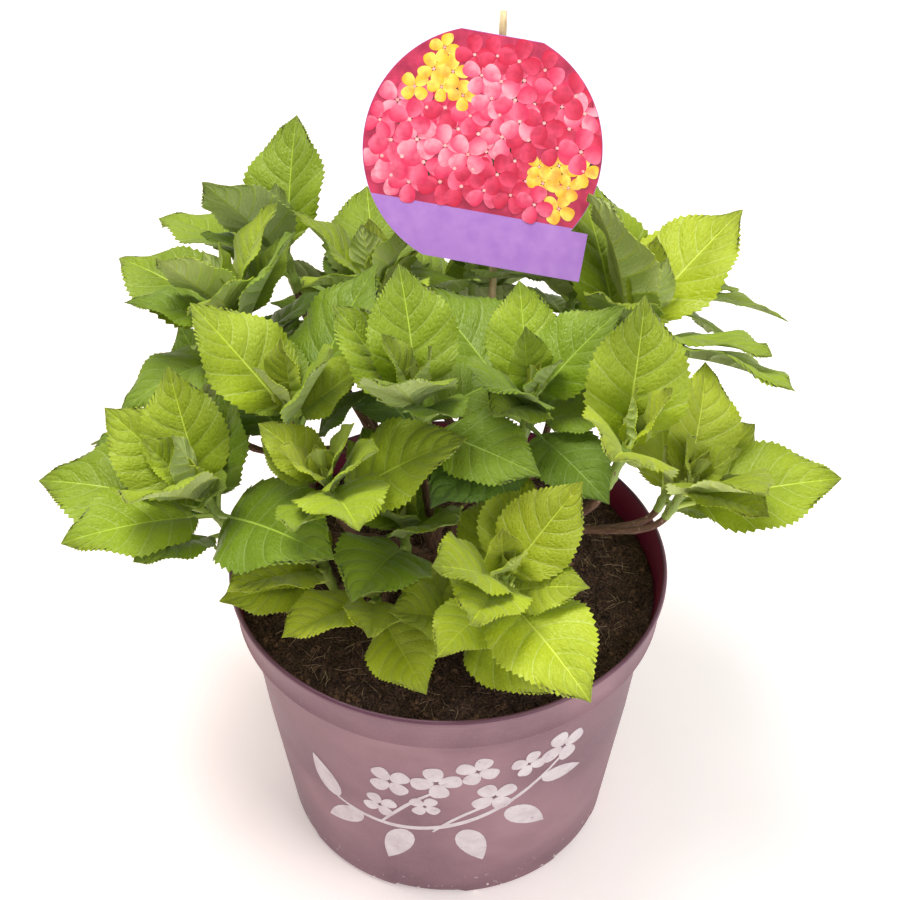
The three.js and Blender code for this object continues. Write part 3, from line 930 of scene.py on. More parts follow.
@dataclass(frozen=True)
class Bark:
    """Young grey-brown bark with fine lengthwise strips and pale lenticels."""

    light: Color = srgb(134, 100, 76)
    dark: Color = srgb(78, 50, 42)
    lenticel: Color = srgb(172, 146, 118)

    def material(self) -> Material:
        """Returns the finish."""
        paint = Paint("bark")
        tube = paint.place["UV"]
        strips = paint.noise(9, 4, paint.stretch(tube, (3.0, 1.2, 1.0)))
        fine = paint.noise(1100, 3, paint.stretch(paint.place["Object"], (1.0, 1.0, 0.3)))
        spots = paint.noise(420, 1)
        color = paint.mix(paint.band(strips, 0.35, 0.65), self.dark, self.light)
        color = paint.mix(paint.band(fine, 0.45, 0.75, 0.0, 0.7), color, self.dark)
        color = paint.mix(paint.band(spots, 0.68, 0.74), color, self.lenticel)
        relief = paint.math("ADD", strips, paint.math("MULTIPLY", fine, 0.5))
        return paint.coat(Base_Color=color, Roughness=0.82, Normal=paint.bump(relief, 0.0007))


@dataclass(frozen=True)
class Soil:
    """Moist peaty compost, crumb or fibre."""

    name: str
    dark: Color
    light: Color
    roughness: float = 0.9

    def material(self) -> Material:
        """Returns the finish."""
        paint = Paint(self.name)
        grain = paint.noise(900, 4)
        lump = paint.noise(160, 3)
        color = paint.mix(paint.band(grain, 0.35, 0.7), self.dark, self.light)
        color = paint.mix(paint.band(lump, 0.4, 0.7, 0.0, 0.6), color, self.dark)
        relief = paint.math("ADD", grain, lump)
        return paint.coat(
            Base_Color=color,
            Roughness=self.roughness,
            Specular_IOR_Level=0.25,
            Normal=paint.bump(relief, 0.0012),
        )


@dataclass(frozen=True)
class PotPlastic:
    """Plum plastic with a film of dust, wiped patches, scuffs and pale nicks low down."""

    name: str
    plum: Color
    dust: Color
    wiped: Color
    nick: Color = srgb(222, 214, 210)
    roughness: float = 0.5
    dusty: float = 1.0

    def material(self) -> Material:
        """Returns the finish."""
        paint = Paint(self.name)
        place = paint.place["Object"]
        clouds = paint.noise(14, 5)
        drift = paint.noise(9, 3, paint.stretch(place, (1.0, 1.0, 2.6)))
        film = paint.math("MULTIPLY", paint.band(clouds, 0.36, 0.66), self.dusty)
        color = paint.mix(film, self.plum, self.dust)
        color = paint.mix(paint.band(drift, 0.5, 0.72, 0.0, 0.55), color, self.wiped)
        speck = paint.noise(1500, 2)
        color = paint.mix(paint.band(speck, 0.58, 0.72, 0.0, 0.65), color, self.dust)
        scuff = paint.noise(60, 4, paint.stretch(place, (1.0, 1.0, 14.0)))
        color = paint.mix(paint.band(scuff, 0.7, 0.76, 0.0, 0.45), color, self.dust)
        height = paint.add("ShaderNodeSeparateXYZ", {0: place}).outputs["Z"]
        low = paint.band(height, 0.004, 0.022, 1.0, 0.0)
        chips = paint.band(paint.noise(260, 2), 0.66, 0.7)
        color = paint.mix(paint.math("MULTIPLY", low, chips), color, self.nick)
        rough = paint.band(clouds, 0.35, 0.65, self.roughness - 0.08, self.roughness + 0.16)
        grain = paint.math("ADD", paint.noise(2600, 2), paint.math("MULTIPLY", scuff, 0.6))
        return paint.coat(
            Base_Color=color,
            Roughness=rough,
            Specular_IOR_Level=0.45,
            Normal=paint.bump(grain, 0.00008),
        )


@dataclass(frozen=True)
class Ink:
    """Printed ink with slight mottling, and wear where it sits on plastic."""

    name: str
    base: Color
    deep: Color
    worn: Color | None = None
    roughness: float = 0.45
    gloss: float = 0.0

    def material(self) -> Material:
        """Returns the finish."""
        paint = Paint(self.name)
        mottle = paint.noise(130, 3)
        color = paint.mix(paint.band(mottle, 0.3, 0.7), self.base, self.deep)
        if self.worn is not None:
            scratch = paint.noise(420, 4, paint.stretch(paint.place["Object"], (1.0, 1.0, 2.5)))
            color = paint.mix(paint.band(scratch, 0.64, 0.72, 0.0, 0.8), color, self.worn)
        return paint.coat(
            Base_Color=color,
            Roughness=self.roughness,
            Coat_Weight=self.gloss,
            Coat_Roughness=0.18,
            Normal=paint.bump(paint.noise(1200, 2), 0.00003),
        )


@dataclass(frozen=True)
class Petal:
    """Printed petal: its colour runs from the eye out to the edge along the petal's own map."""

    name: str
    eye: Color
    edge: Color
    shade: Color

    def material(self) -> Material:
        """Returns the finish."""
        paint = Paint(self.name)
        out = paint.add("ShaderNodeSeparateXYZ", {0: paint.place["UV"]}).outputs["X"]
        fleck = paint.noise(240, 3)
        color = paint.mix(paint.band(out, 0.15, 0.9), self.eye, self.edge)
        color = paint.mix(paint.band(fleck, 0.42, 0.68, 0.0, 0.55), color, self.shade)
        return paint.coat(
            Base_Color=color,
            Roughness=0.38,
            Coat_Weight=0.25,
            Coat_Roughness=0.2,
            Normal=paint.bump(fleck, 0.00006),
        )


@dataclass(frozen=True)
class StickWood:
    """Pale split bamboo."""

    light: Color = srgb(226, 204, 158)
    dark: Color = srgb(176, 146, 100)

    def material(self) -> Material:
        """Returns the finish."""
        paint = Paint("stick_wood")
        grain = paint.noise(500, 4, paint.stretch(paint.place["Object"], (1.0, 1.0, 0.06)))
        color = paint.mix(paint.band(grain, 0.35, 0.7), self.light, self.dark)
        return paint.coat(Base_Color=color, Roughness=0.6, Normal=paint.bump(grain, 0.0002))


@dataclass(frozen=True)
class Studio:
    """Pale seamless paper, faintly rosy at the left and lit evenly."""

    paper: Color = srgb(254, 251, 250)
    shade: Color = srgb(254, 236, 231)
    glow: float = 0.25

    def material(self) -> Material:
        """Returns the finish."""
        paint = Paint("studio_paper")
        way = paint.add("ShaderNodeSeparateXYZ", {0: paint.place["Object"]}).outputs["X"]
        color = paint.mix(paint.band(way, -0.45, 0.2), self.shade, self.paper)
        return paint.coat(
            Base_Color=color,
            Roughness=0.9,
            Specular_IOR_Level=0.1,
            Emission_Color=color,
            Emission_Strength=self.glow,
        )


# ---------------------------------------------------------------- templates that pieces are made of
def put(name: str, data: bpy.types.ID) -> bpy.types.Object:
    """Returns a new object of the data, linked to the scene."""
    item = bpy.data.objects.new(name, data)
    bpy.context.scene.collection.objects.link(item)
    return item


class Template:
    """A small mesh whose points are laid anew for each copy."""

    def __init__(self, name: str, shape: bmesh.types.BMesh) -> None:
        """Keeps the mesh and its points.

        Args:
            name: name of the mesh.
            shape: the shape, which is freed.
        """
        self.mesh = bpy.data.meshes.new(name)
        shape.to_mesh(self.mesh)
        shape.free()
        flat = np.empty(len(self.mesh.vertices) * 3, np.float32)
        self.mesh.vertices.foreach_get("co", flat)
        self.points = flat.reshape(-1, 3).astype(float)


def even_steps(values: Iterable[float]) -> dict[float, int]:
    """Returns the rank of each distinct value, rounded to four decimals."""
    return {value: i for i, value in enumerate(sorted({round(v, 4) for v in values}))}


class Sheet(Template):
    """A thin two-faced sheet on a grid of columns and rows.

    Points hold the column's and the row's value and, as z, 0 on the upper face and -1 on the under face.
    """

    def __init__(
        self,
        name: str,
        columns: Sequence[float],
        rows: Sequence[float],
        kind: Callable[[float, float, bool], int] | None = None,
    ) -> None:
        """Builds the sheet.

        Args:
            name: name of the mesh.
            columns: values across.
            rows: values along.
            kind: gives the material index of the face at a place, upper or not.
        """
        shape = bmesh.new()
        uv = shape.loops.layers.uv.new("UVMap")
        cells = {"x_segments": len(columns) - 1, "y_segments": len(rows) - 1}
        bmesh.ops.create_grid(shape, size=1, **cells)
        across = even_steps(vert.co.x for vert in shape.verts)
        ahead = even_steps(vert.co.y for vert in shape.verts)
        for vert in shape.verts:
            vert.co.x = columns[across[round(vert.co.x, 4)]]
            vert.co.y = rows[ahead[round(vert.co.y, 4)]]
        bmesh.ops.solidify(shape, geom=shape.faces[:], thickness=1)
        top = max(vert.co.z for vert in shape.verts)
        for vert in shape.verts:
            vert.co.z = 0.0 if vert.co.z > top - 0.5 else -1.0
        bmesh.ops.recalc_face_normals(shape, faces=shape.faces[:])
        for face in shape.faces:
            flat = abs(face.normal.z) > 0.5
            centre = face.calc_center_median()
            face.smooth = flat
            face.material_index = 1 if face.normal.z < -0.5 else 0
            if flat and kind is not None:
                face.material_index = kind(centre.x, centre.y, face.normal.z > 0)
            for edge in () if flat else face.edges:
                edge.smooth = False
            for loop in face.loops:
                loop[uv].uv = (loop.vert.co.x * 0.5 + 0.5, loop.vert.co.y)
        super().__init__(name, shape)


class Sleeve(Template):
    """A closed tube; points hold the cosine and sine of their angle and, as z, their way along."""

    def __init__(self, name: str, sides: int, rings: int) -> None:
        """Builds the tube.

        Args:
            name: name of the mesh.
            sides: faces round the tube.
            rings: faces along it.
        """
        shape = bmesh.new()
        uv = shape.loops.layers.uv.new("UVMap")
        bmesh.ops.create_cone(
            shape, cap_ends=True, cap_tris=False, segments=sides, radius1=1, radius2=1, depth=1
        )
        upright = [edge for edge in shape.edges if abs(edge.verts[0].co.z - edge.verts[1].co.z) > 0.5]
        bmesh.ops.subdivide_edges(shape, edges=upright, cuts=rings - 1)
        bmesh.ops.translate(shape, verts=shape.verts[:], vec=(0, 0, 0.5))
        for face in shape.faces:
            face.smooth = abs(face.normal.z) < 0.5
            middle = face.calc_center_median()
            bearing = math.atan2(middle.y, middle.x)
            for loop in face.loops:
                turn = math.atan2(loop.vert.co.y, loop.vert.co.x) - bearing
                turn = (turn + math.pi) % (2 * math.pi) - math.pi
                loop[uv].uv = ((bearing + turn) / (2 * math.pi) + 0.5, loop.vert.co.z)
        super().__init__(name, shape)
        self.way = np.clip(self.points[:, 2], 0, 1)
        self.angle = np.arctan2(self.points[:, 1], self.points[:, 0])
        self.ring = np.rint(self.way * rings).astype(int)
        self.rings = rings

    def lay(self, path: Callable[[float], np.ndarray], radii: np.ndarray) -> np.ndarray:
        """Lays the tube along a path.

        Args:
            path: gives the point at 0 to 1.
            radii: radius at each point of the tube.

        Returns:
            The points of the copy.
        """
        centres = np.array([path(i / self.rings) for i in range(self.rings + 1)])
        ahead = np.gradient(centres, axis=0)
        ahead /= np.linalg.norm(ahead, axis=1)[:, None]
        normal = np.cross(ahead[0], (0.0, 0.0, 1.0) if abs(ahead[0][2]) < 0.9 else (0.0, 1.0, 0.0))
        normals = []
        for direction in ahead:
            normal = unit(normal - direction * float(normal @ direction))
            normals.append(normal)
        normals = np.array(normals)
        sides = np.cross(ahead, normals)
        across = normals[self.ring] * np.cos(self.angle)[:, None]
        across += sides[self.ring] * np.sin(self.angle)[:, None]
        return centres[self.ring] + across * radii[:, None]

    def lay_straight(self, low: np.ndarray, high: np.ndarray, radii: np.ndarray) -> np.ndarray:
        """Lays the tube along the straight line from low to high."""
        return self.lay(lambda t: low + (high - low) * t, radii)

    def bumps(self, around: float, along: float, shift: float = 0.0) -> np.ndarray:
        """Returns smooth noise at each point of the tube.

        Args:
            around: how fast it changes round the tube.
            along: how fast it changes along the tube.
            shift: where it starts along the tube.

        Returns:
            The noise, from -1 to 1.
        """
        places = (
            (around * math.cos(a), around * math.sin(a), along * w + shift)
            for a, w in zip(self.angle, self.way)
        )
        return np.array([noise.noise(Vector(place)) for place in places])


class Piece:
    """A piece that grows by copies of templates."""

    def __init__(self, name: str) -> None:
        """Starts the piece.

        Args:
            name: name of the object.
        """
        self.name = name
        self.shape = bmesh.new()

    def take(self, shape: bmesh.types.BMesh) -> None:
        """Takes a finished shape in place of copies of templates."""
        self.shape.free()
        self.shape = shape

    def add(self, template: Template, points: np.ndarray, material: int | None = None) -> None:
        """Adds a copy of a template.

        Args:
            template: the template.
            points: its points, in millimetres.
            material: a material index for all its faces, where it isn't the template's own.
        """
        template.mesh.vertices.foreach_set("co", (points * MM).astype(np.float32).ravel())
        if material is not None:
            polygons = template.mesh.polygons
            polygons.foreach_set("material_index", np.full(len(polygons), material))
        self.shape.from_mesh(template.mesh)

    def finish(self, materials: Sequence[Material], nodes: Iterable[str]) -> None:
        """Makes the object.

        Args:
            materials: finishes in the order of the material indices.
            nodes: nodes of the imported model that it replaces.
        """
        mesh = bpy.data.meshes.new(self.name)
        self.shape.to_mesh(mesh)
        self.shape.free()
        for material in materials:
            mesh.materials.append(material)
        piece = put(self.name, mesh)
        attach(piece, BODY)
        names = list(dict.fromkeys(nodes))
        if names:
            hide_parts(*names)
        triangles = sum(len(polygon.vertices) - 2 for polygon in mesh.polygons)
        LOG.info("%s: %d triangles", self.name, triangles)


# ---------------------------------------------------------------- the plant
class Slot(Enum):
    """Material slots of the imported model."""

    POT = "pot_plastic"
    COMPOST = "compost"
    WOOD = "woody_stem"
    LEAF = "leaf"
    CARD = "card"
    STICK = "stick_wood"


@dataclass
class BladeMaker:
    """Makes blades with teeth, quilted panels, a sunken midrib and arching side veins."""

    name: str
    columns: tuple[float, ...] = (0.035, 0.15, 0.35, 0.55, 0.75, 0.9, 1.0)
    veins: int = 7
    panel_rows: int = 8
    vein_half: float = 0.0042
    first_row: float = 0.012
    last_row: float = 0.995
    sweep: float = 2.15
    rib_width: float = 0.6
    rib_tip: float = 0.06
    thickness: float = 0.36
    puff: float = 0.95
    groove: float = 0.5
    keel: float = 0.8
    vein_sink: float = 0.16
    vein_rise: float = 0.38
    tooth: float = 1.35
    tooth_ahead: float = 0.35
    tip_pinch: float = 0.2
    wave: float = 1.9
    warp: float = 1.7
    sheet: Sheet = field(init=False)

    def __post_init__(self) -> None:
        """Builds the template and the values that all its copies share."""
        rows, self.phase_of_row, self.tooth_of_row = self.row_places()
        columns = [-value for value in reversed(self.columns)] + list(self.columns)
        vein_rows = self.vein_places()

        def kind(s: float, t: float, upper: bool) -> int:
            if abs(s) < self.columns[0]:
                return 2
            if any(abs(t - place) < self.vein_half for place in vein_rows):
                return 3 if upper else 2
            return 0 if upper else 1

        self.sheet = Sheet(self.name, columns, rows, kind)
        points = self.sheet.points
        self.s = points[:, 0]
        self.row = points[:, 1]
        self.under = points[:, 2] < -0.5
        index = np.abs(self.row[:, None] - np.array(rows)[None, :]).argmin(axis=1)
        self.row_step = (self.last_row - self.first_row) / (len(rows) - 1)
        self.phase = np.array(self.phase_of_row)[index]
        edge = np.clip((np.abs(self.s) - 0.8) / 0.2, 0, 1)
        self.teeth = np.array(self.tooth_of_row)[index] * edge
        near = 1.5 * self.vein_half
        self.on_vein = np.array([min(abs(t - place) for place in vein_rows) < near for t in self.row])

    def vein_places(self) -> list[float]:
        """Returns the rows at which the side veins leave the midrib."""
        return [0.06 + 0.78 * k / (self.veins - 1) for k in range(self.veins)]

    def row_places(self) -> tuple[list[float], list[float], list[float]]:
        """Returns the rows, their phase between two veins, and the tooth at each row."""
        stops = [self.first_row, *self.vein_places(), self.last_row]
        rows: list[float] = []
        phases: list[float] = []
        teeth: list[float] = []
        for k, (low, high) in enumerate(zip(stops[:-1], stops[1:])):
            start = low + (self.vein_half if k else 0)
            end = high - (self.vein_half if k < self.veins else 0)
            for i in range(self.panel_rows + 1):
                share = i / self.panel_rows
                rows.append(start + (end - start) * share)
                phases.append(math.sin(math.pi * share) ** 0.8)
                teeth.append(1.0 if i % 2 else -0.35)
        return rows, phases, teeth

    def points(self, leaf: Leaf, ruffle: float) -> np.ndarray:
        """Lays the blade of one leaf.

        Args:
            leaf: the leaf.
            ruffle: phase of the waves along its edge.

        Returns:
            The points of the blade.
        """
        scale = leaf.length / BLADE.full_leaf
        span = np.abs(self.s)
        sweep = 1 - (1 - self.row) ** self.sweep - self.row
        t = self.row + sweep * (0.82 * span + 0.18 * span * span)
        t = t + self.teeth * self.tooth_ahead * self.row_step * 2 * (1 - self.row) ** 0.5
        t = np.clip(t, self.first_row, 0.998)
        rib = (self.rib_width * (1 - t) ** 0.8 + self.rib_tip) * scale
        pinch = 1 - self.tip_pinch * np.clip((t - 0.72) / 0.2, 0, 1) * np.clip((1.02 - t) / 0.06, 0, 1)
        width = np.maximum(leaf.half_width(t) * pinch, rib * 1.15)
        notch = self.tooth * scale * np.minimum(1, width / (9 * scale)) * self.teeth
        first = self.columns[0]
        share = np.clip((span - first) / (1 - first), 0, 1)
        across = np.sign(self.s) * (rib + share * (width - rib) + notch)
        s = across / width
        off = width * (leaf.fold * np.abs(s) - BLADE.edge_curl * s * s)
        reach = np.clip((span - first) / 0.12, 0, 1) * (1 - 0.75 * np.clip((span - 0.6) / 0.4, 0, 1))
        thick = np.minimum(1, width / (6 * scale))
        off = off + self.puff * scale * self.phase * reach * thick
        middle = span < first * 1.5
        fade = (1 - t) ** 0.6
        off = off - np.where(middle & ~self.under, self.groove * scale * fade, 0)
        off = off - np.where(self.under, self.thickness + np.where(middle, self.keel * fade * scale, 0), 0)
        vein = self.on_vein & ~middle & (span < 0.95)
        off = off - np.where(vein, np.where(self.under, self.vein_rise, self.vein_sink) * scale, 0)
        edge = s * s * thick * scale
        off = off + self.wave * edge * np.sin(2 * math.pi * (2.6 * t + ruffle) + 1.3 * np.sign(s))
        off = off + self.warp * scale * thick * s * np.sin(2 * math.pi * (0.8 * t + 3 * ruffle))
        return leaf.place(t, across, off)


@dataclass
class Plant:
    """The hydrangea: limbs, green stems, leaves, stalks and buds."""

    growth: Growth
    seed: int = 29
    limb_sides: int = 12
    limb_slim: float = 0.84
    limb_rings: int = 44
    scar_pitch: float = 24.0
    stalk_root: float = 1.9
    stalk_middle: float = 1.25
    bud_share: float = 0.24
    bud_open: float = 15.0
    inner_share: float = 0.13
    inner_open: float = 7.0
    leaves_in_piece: int = 45
    tone_weight: float = 2.1
    rank_tones: tuple[float, ...] = (-0.8, 0.1, 1.0, 1.9)
    tone_spread: float = 0.8
    tone_start: float = 0.9
    tints: TintScale = TintScale()

    def tint_index(self, leaf: Leaf, dice: Dice) -> int:
        """Returns the tint of a leaf, by its shoot and its pair."""
        tone = self.tone_weight * leaf.shoot.row.tone + self.rank_tones[leaf.rank]
        level = tone + dice.spread(self.tone_spread) + self.tone_start
        return min(max(round(level), 0), self.tints.count - 1)

    def make_leaves(self) -> None:
        """Makes the blades with their stalks, each tint apart."""
        dice = Dice(self.seed)
        blades = BladeMaker("blade")
        stalk = Sleeve("stalk", 8, 10)
        groups: dict[int, list[tuple[Leaf, float]]] = {}
        for leaf in self.growth.leaves:
            index = self.tint_index(leaf, dice)
            groups.setdefault(index, []).append((leaf, dice.next()))
        for index, members in sorted(groups.items()):
            finishes = self.tints.tint(index).finishes()
            for part, start in enumerate(range(0, len(members), self.leaves_in_piece)):
                chunk = members[start : start + self.leaves_in_piece]
                piece = Piece(f"leaves_tint_{index + 1}_{part + 1}")
                for leaf, ruffle in chunk:
                    piece.add(blades.sheet, blades.points(leaf, ruffle))
                    piece.add(stalk, self.stalk_points(stalk, leaf), 4)
                nodes = (f"leaves_{leaf.shoot.row.name}" for leaf, _ in chunk)
                piece.finish(finishes, nodes)

    def stalk_points(self, sleeve: Sleeve, leaf: Leaf) -> np.ndarray:
        """Lays a leaf stalk from the stem into the midrib."""
        scale = leaf.shoot.scale * (0.75 + 0.25 * leaf.length / leaf.shoot.row.leaf)
        stalk = float(np.linalg.norm(leaf.base - leaf.root))
        inside = leaf.place(np.array([0.07]), np.zeros(1), np.array([-0.7 * scale]))[0]
        lead = unit(leaf.shoot.axis * 0.3 + leaf.along)
        path = Curve(np.array([leaf.root, leaf.root + lead * stalk * 0.5, leaf.base - leaf.up * 0.4, inside]))
        way = sleeve.way
        radii = self.stalk_middle + (self.stalk_root - self.stalk_middle) * (1 - way) ** 3
        radii = radii * scale * np.where(way > 0.75, 1 - 1.8 * (way - 0.75), 1)
        return sleeve.lay(path.point, radii)

    def make_buds(self) -> None:
        """Makes the folded young leaves and the swollen bud in the middle of each head."""
        dice = Dice(self.seed + 1)
        columns = (0.08, 0.4, 0.75, 1.0)
        maker = BladeMaker(
            "young_blade", columns=columns, veins=5, panel_rows=4, puff=0.6, tooth=1.7, wave=0.6
        )
        pairs = ((self.bud_share, self.bud_open), (self.inner_share, self.inner_open))
        bud = Sleeve("bud", 8, 8)
        piece = Piece("young_leaves")
        buds = Piece("end_buds")
        for shoot in self.growth.shoots.values():
            for pair, (share, opening) in enumerate(pairs):
                for side in (0, 1):
                    leaf = self.young_leaf(shoot, share, opening, pair, side, dice)
                    piece.add(maker.sheet, maker.points(leaf, dice.next()))
            high = shoot.tip + shoot.axis * 7 * shoot.scale
            low = shoot.tip - shoot.axis * 1.5
            swell = np.sin(np.pi * np.clip(bud.way * 0.9 + 0.08, 0, 1)) ** 0.7 * 2.1 * shoot.scale
            buds.add(bud, bud.lay_straight(low, high, swell), 0)
        tint = self.tints.tint(0)
        nodes = [f"leaves_{name}" for name in self.growth.shoots]
        piece.finish(tint.finishes(), nodes)
        pale = LeafTint("bud", tint.vein, tint.under, srgb(206, 214, 140))
        buds.finish([pale.rib()], nodes)

    def young_leaf(
        self, shoot: Shoot, share: float, opening: float, pair: int, side: int, dice: Dice
    ) -> Leaf:
        """Returns one of the small folded leaves over the bud.

        Args:
            shoot: the shoot that carries it.
            share: its share of the shoot's leaf length.
            opening: degrees between the blade and the stem.
            pair: 0 for the outer pair and 1 for the inner one.
            side: 0 or 1, which leaf of the pair.
            dice: numbers for its own turn and size.

        Returns:
            The leaf.
        """
        bearing = math.radians(shoot.row.bearing + 90 * (pair + 1) + 180 * side + dice.spread(10))
        angle = math.radians(opening + dice.spread(4))
        along, face = fan(shoot.axis, bearing, angle)
        return Leaf(
            shoot=shoot,
            rank=0,
            root=shoot.tip,
            along=along,
            up=face,
            base=shoot.tip + along * 1.2,
            length=shoot.row.leaf * share * dice.between(0.88, 1.1),
            bend=-16 + dice.spread(8),
            fold=0.85,
        )

    def make_wood(self) -> None:
        """Makes the barked limbs and the green stems at their tips."""
        bark = Piece("barked_limbs")
        green = Piece("green_stems")
        tube = Sleeve("limb", self.limb_sides, self.limb_rings)
        stem = Sleeve("stem", 10, 26)
        for number, shoot in enumerate(self.growth.shoots.values()):
            bark.add(tube, self.limb_points(tube, shoot, number))
            green.add(stem, self.stem_points(stem, shoot))
        limbs = [f"limb_{name}" for name in self.growth.shoots]
        bark.finish([Bark().material()], limbs)
        masses = [f"leaves_{name}" for name in self.growth.shoots]
        green.finish([StemGreen().material()], masses)

    def limb_points(self, tube: Sleeve, shoot: Shoot, number: int) -> np.ndarray:
        """Lays a limb with strips, leaf scars and a flared foot."""
        root, tip = shoot.radii()
        length = float(np.linalg.norm(shoot.collar - shoot.curve.controls[0]))
        way = tube.way
        radii = self.limb_slim * (root + (tip - root) * way)
        radii = radii + 1.3 * np.exp(-way * length / 4)
        place = way * length / self.scar_pitch
        scar = np.exp(-(((place + 0.5) % 1 - 0.5) * self.scar_pitch / 2.2) ** 2)
        turn = np.floor(place + 0.5) * math.pi / 2
        radii = radii * (1 + scar * (0.1 + 0.12 * np.cos(2 * (tube.angle - turn)) ** 2))
        strips = 0.05 * np.sin(3 * tube.angle + 5 * way) + 0.04 * np.sin(5 * tube.angle + number + 9 * way)
        radii = radii * (1 + strips + 0.09 * tube.bumps(3, 30, number))
        return tube.lay(shoot.curve.point, radii)

    def stem_points(self, stem: Sleeve, shoot: Shoot) -> np.ndarray:
        """Lays a green stem that swells where each pair of leaves stands."""
        _, root = shoot.radii()
        low = shoot.collar - shoot.axis * 1.0
        high = shoot.tip + shoot.axis * 1.5
        length = float(np.linalg.norm(high - low))
        way = stem.way
        radii = (root + 0.25) + (LIMB.stem_tip + 0.3 - root) * way
        for rank in range(shoot.row.pairs):
            place = 1 - (RANKS[rank].drop * shoot.scale + 1.5) / length
            radii = radii + 0.7 * np.exp(-(((way - place) * length / 2.4) ** 2))
        radii = np.where(way > 0.96, radii * 0.6, radii)
        return stem.lay_straight(low, high, radii)

    def make_crown(self) -> None:
        """Makes the gnarled woody crown that the limbs rise from."""
        tube = Sleeve("crown", 48, 18)
        foot, top = (np.array([0, 0, corner.z / MM]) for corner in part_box("root_crown"))
        way = tube.way
        radii = LIMB.crown_base + (LIMB.crown_top - LIMB.crown_base) * way**0.6
        radii = np.where(way > 0.9, radii * (1 - 4 * (way - 0.9)), radii)
        radii = radii * (0.95 + 0.05 * np.cos(8 * tube.angle + 0.6) + 0.16 * tube.bumps(2, 3))
        piece = Piece("woody_crown")
        piece.add(tube, tube.lay_straight(foot, top, np.minimum(radii, LIMB.crown_base - 0.2)))
        piece.finish([Bark().material()], ["root_crown"])

    def build(self) -> None:
        """Builds the whole plant."""
        self.make_crown()
        self.make_wood()
        self.make_leaves()
        self.make_buds()


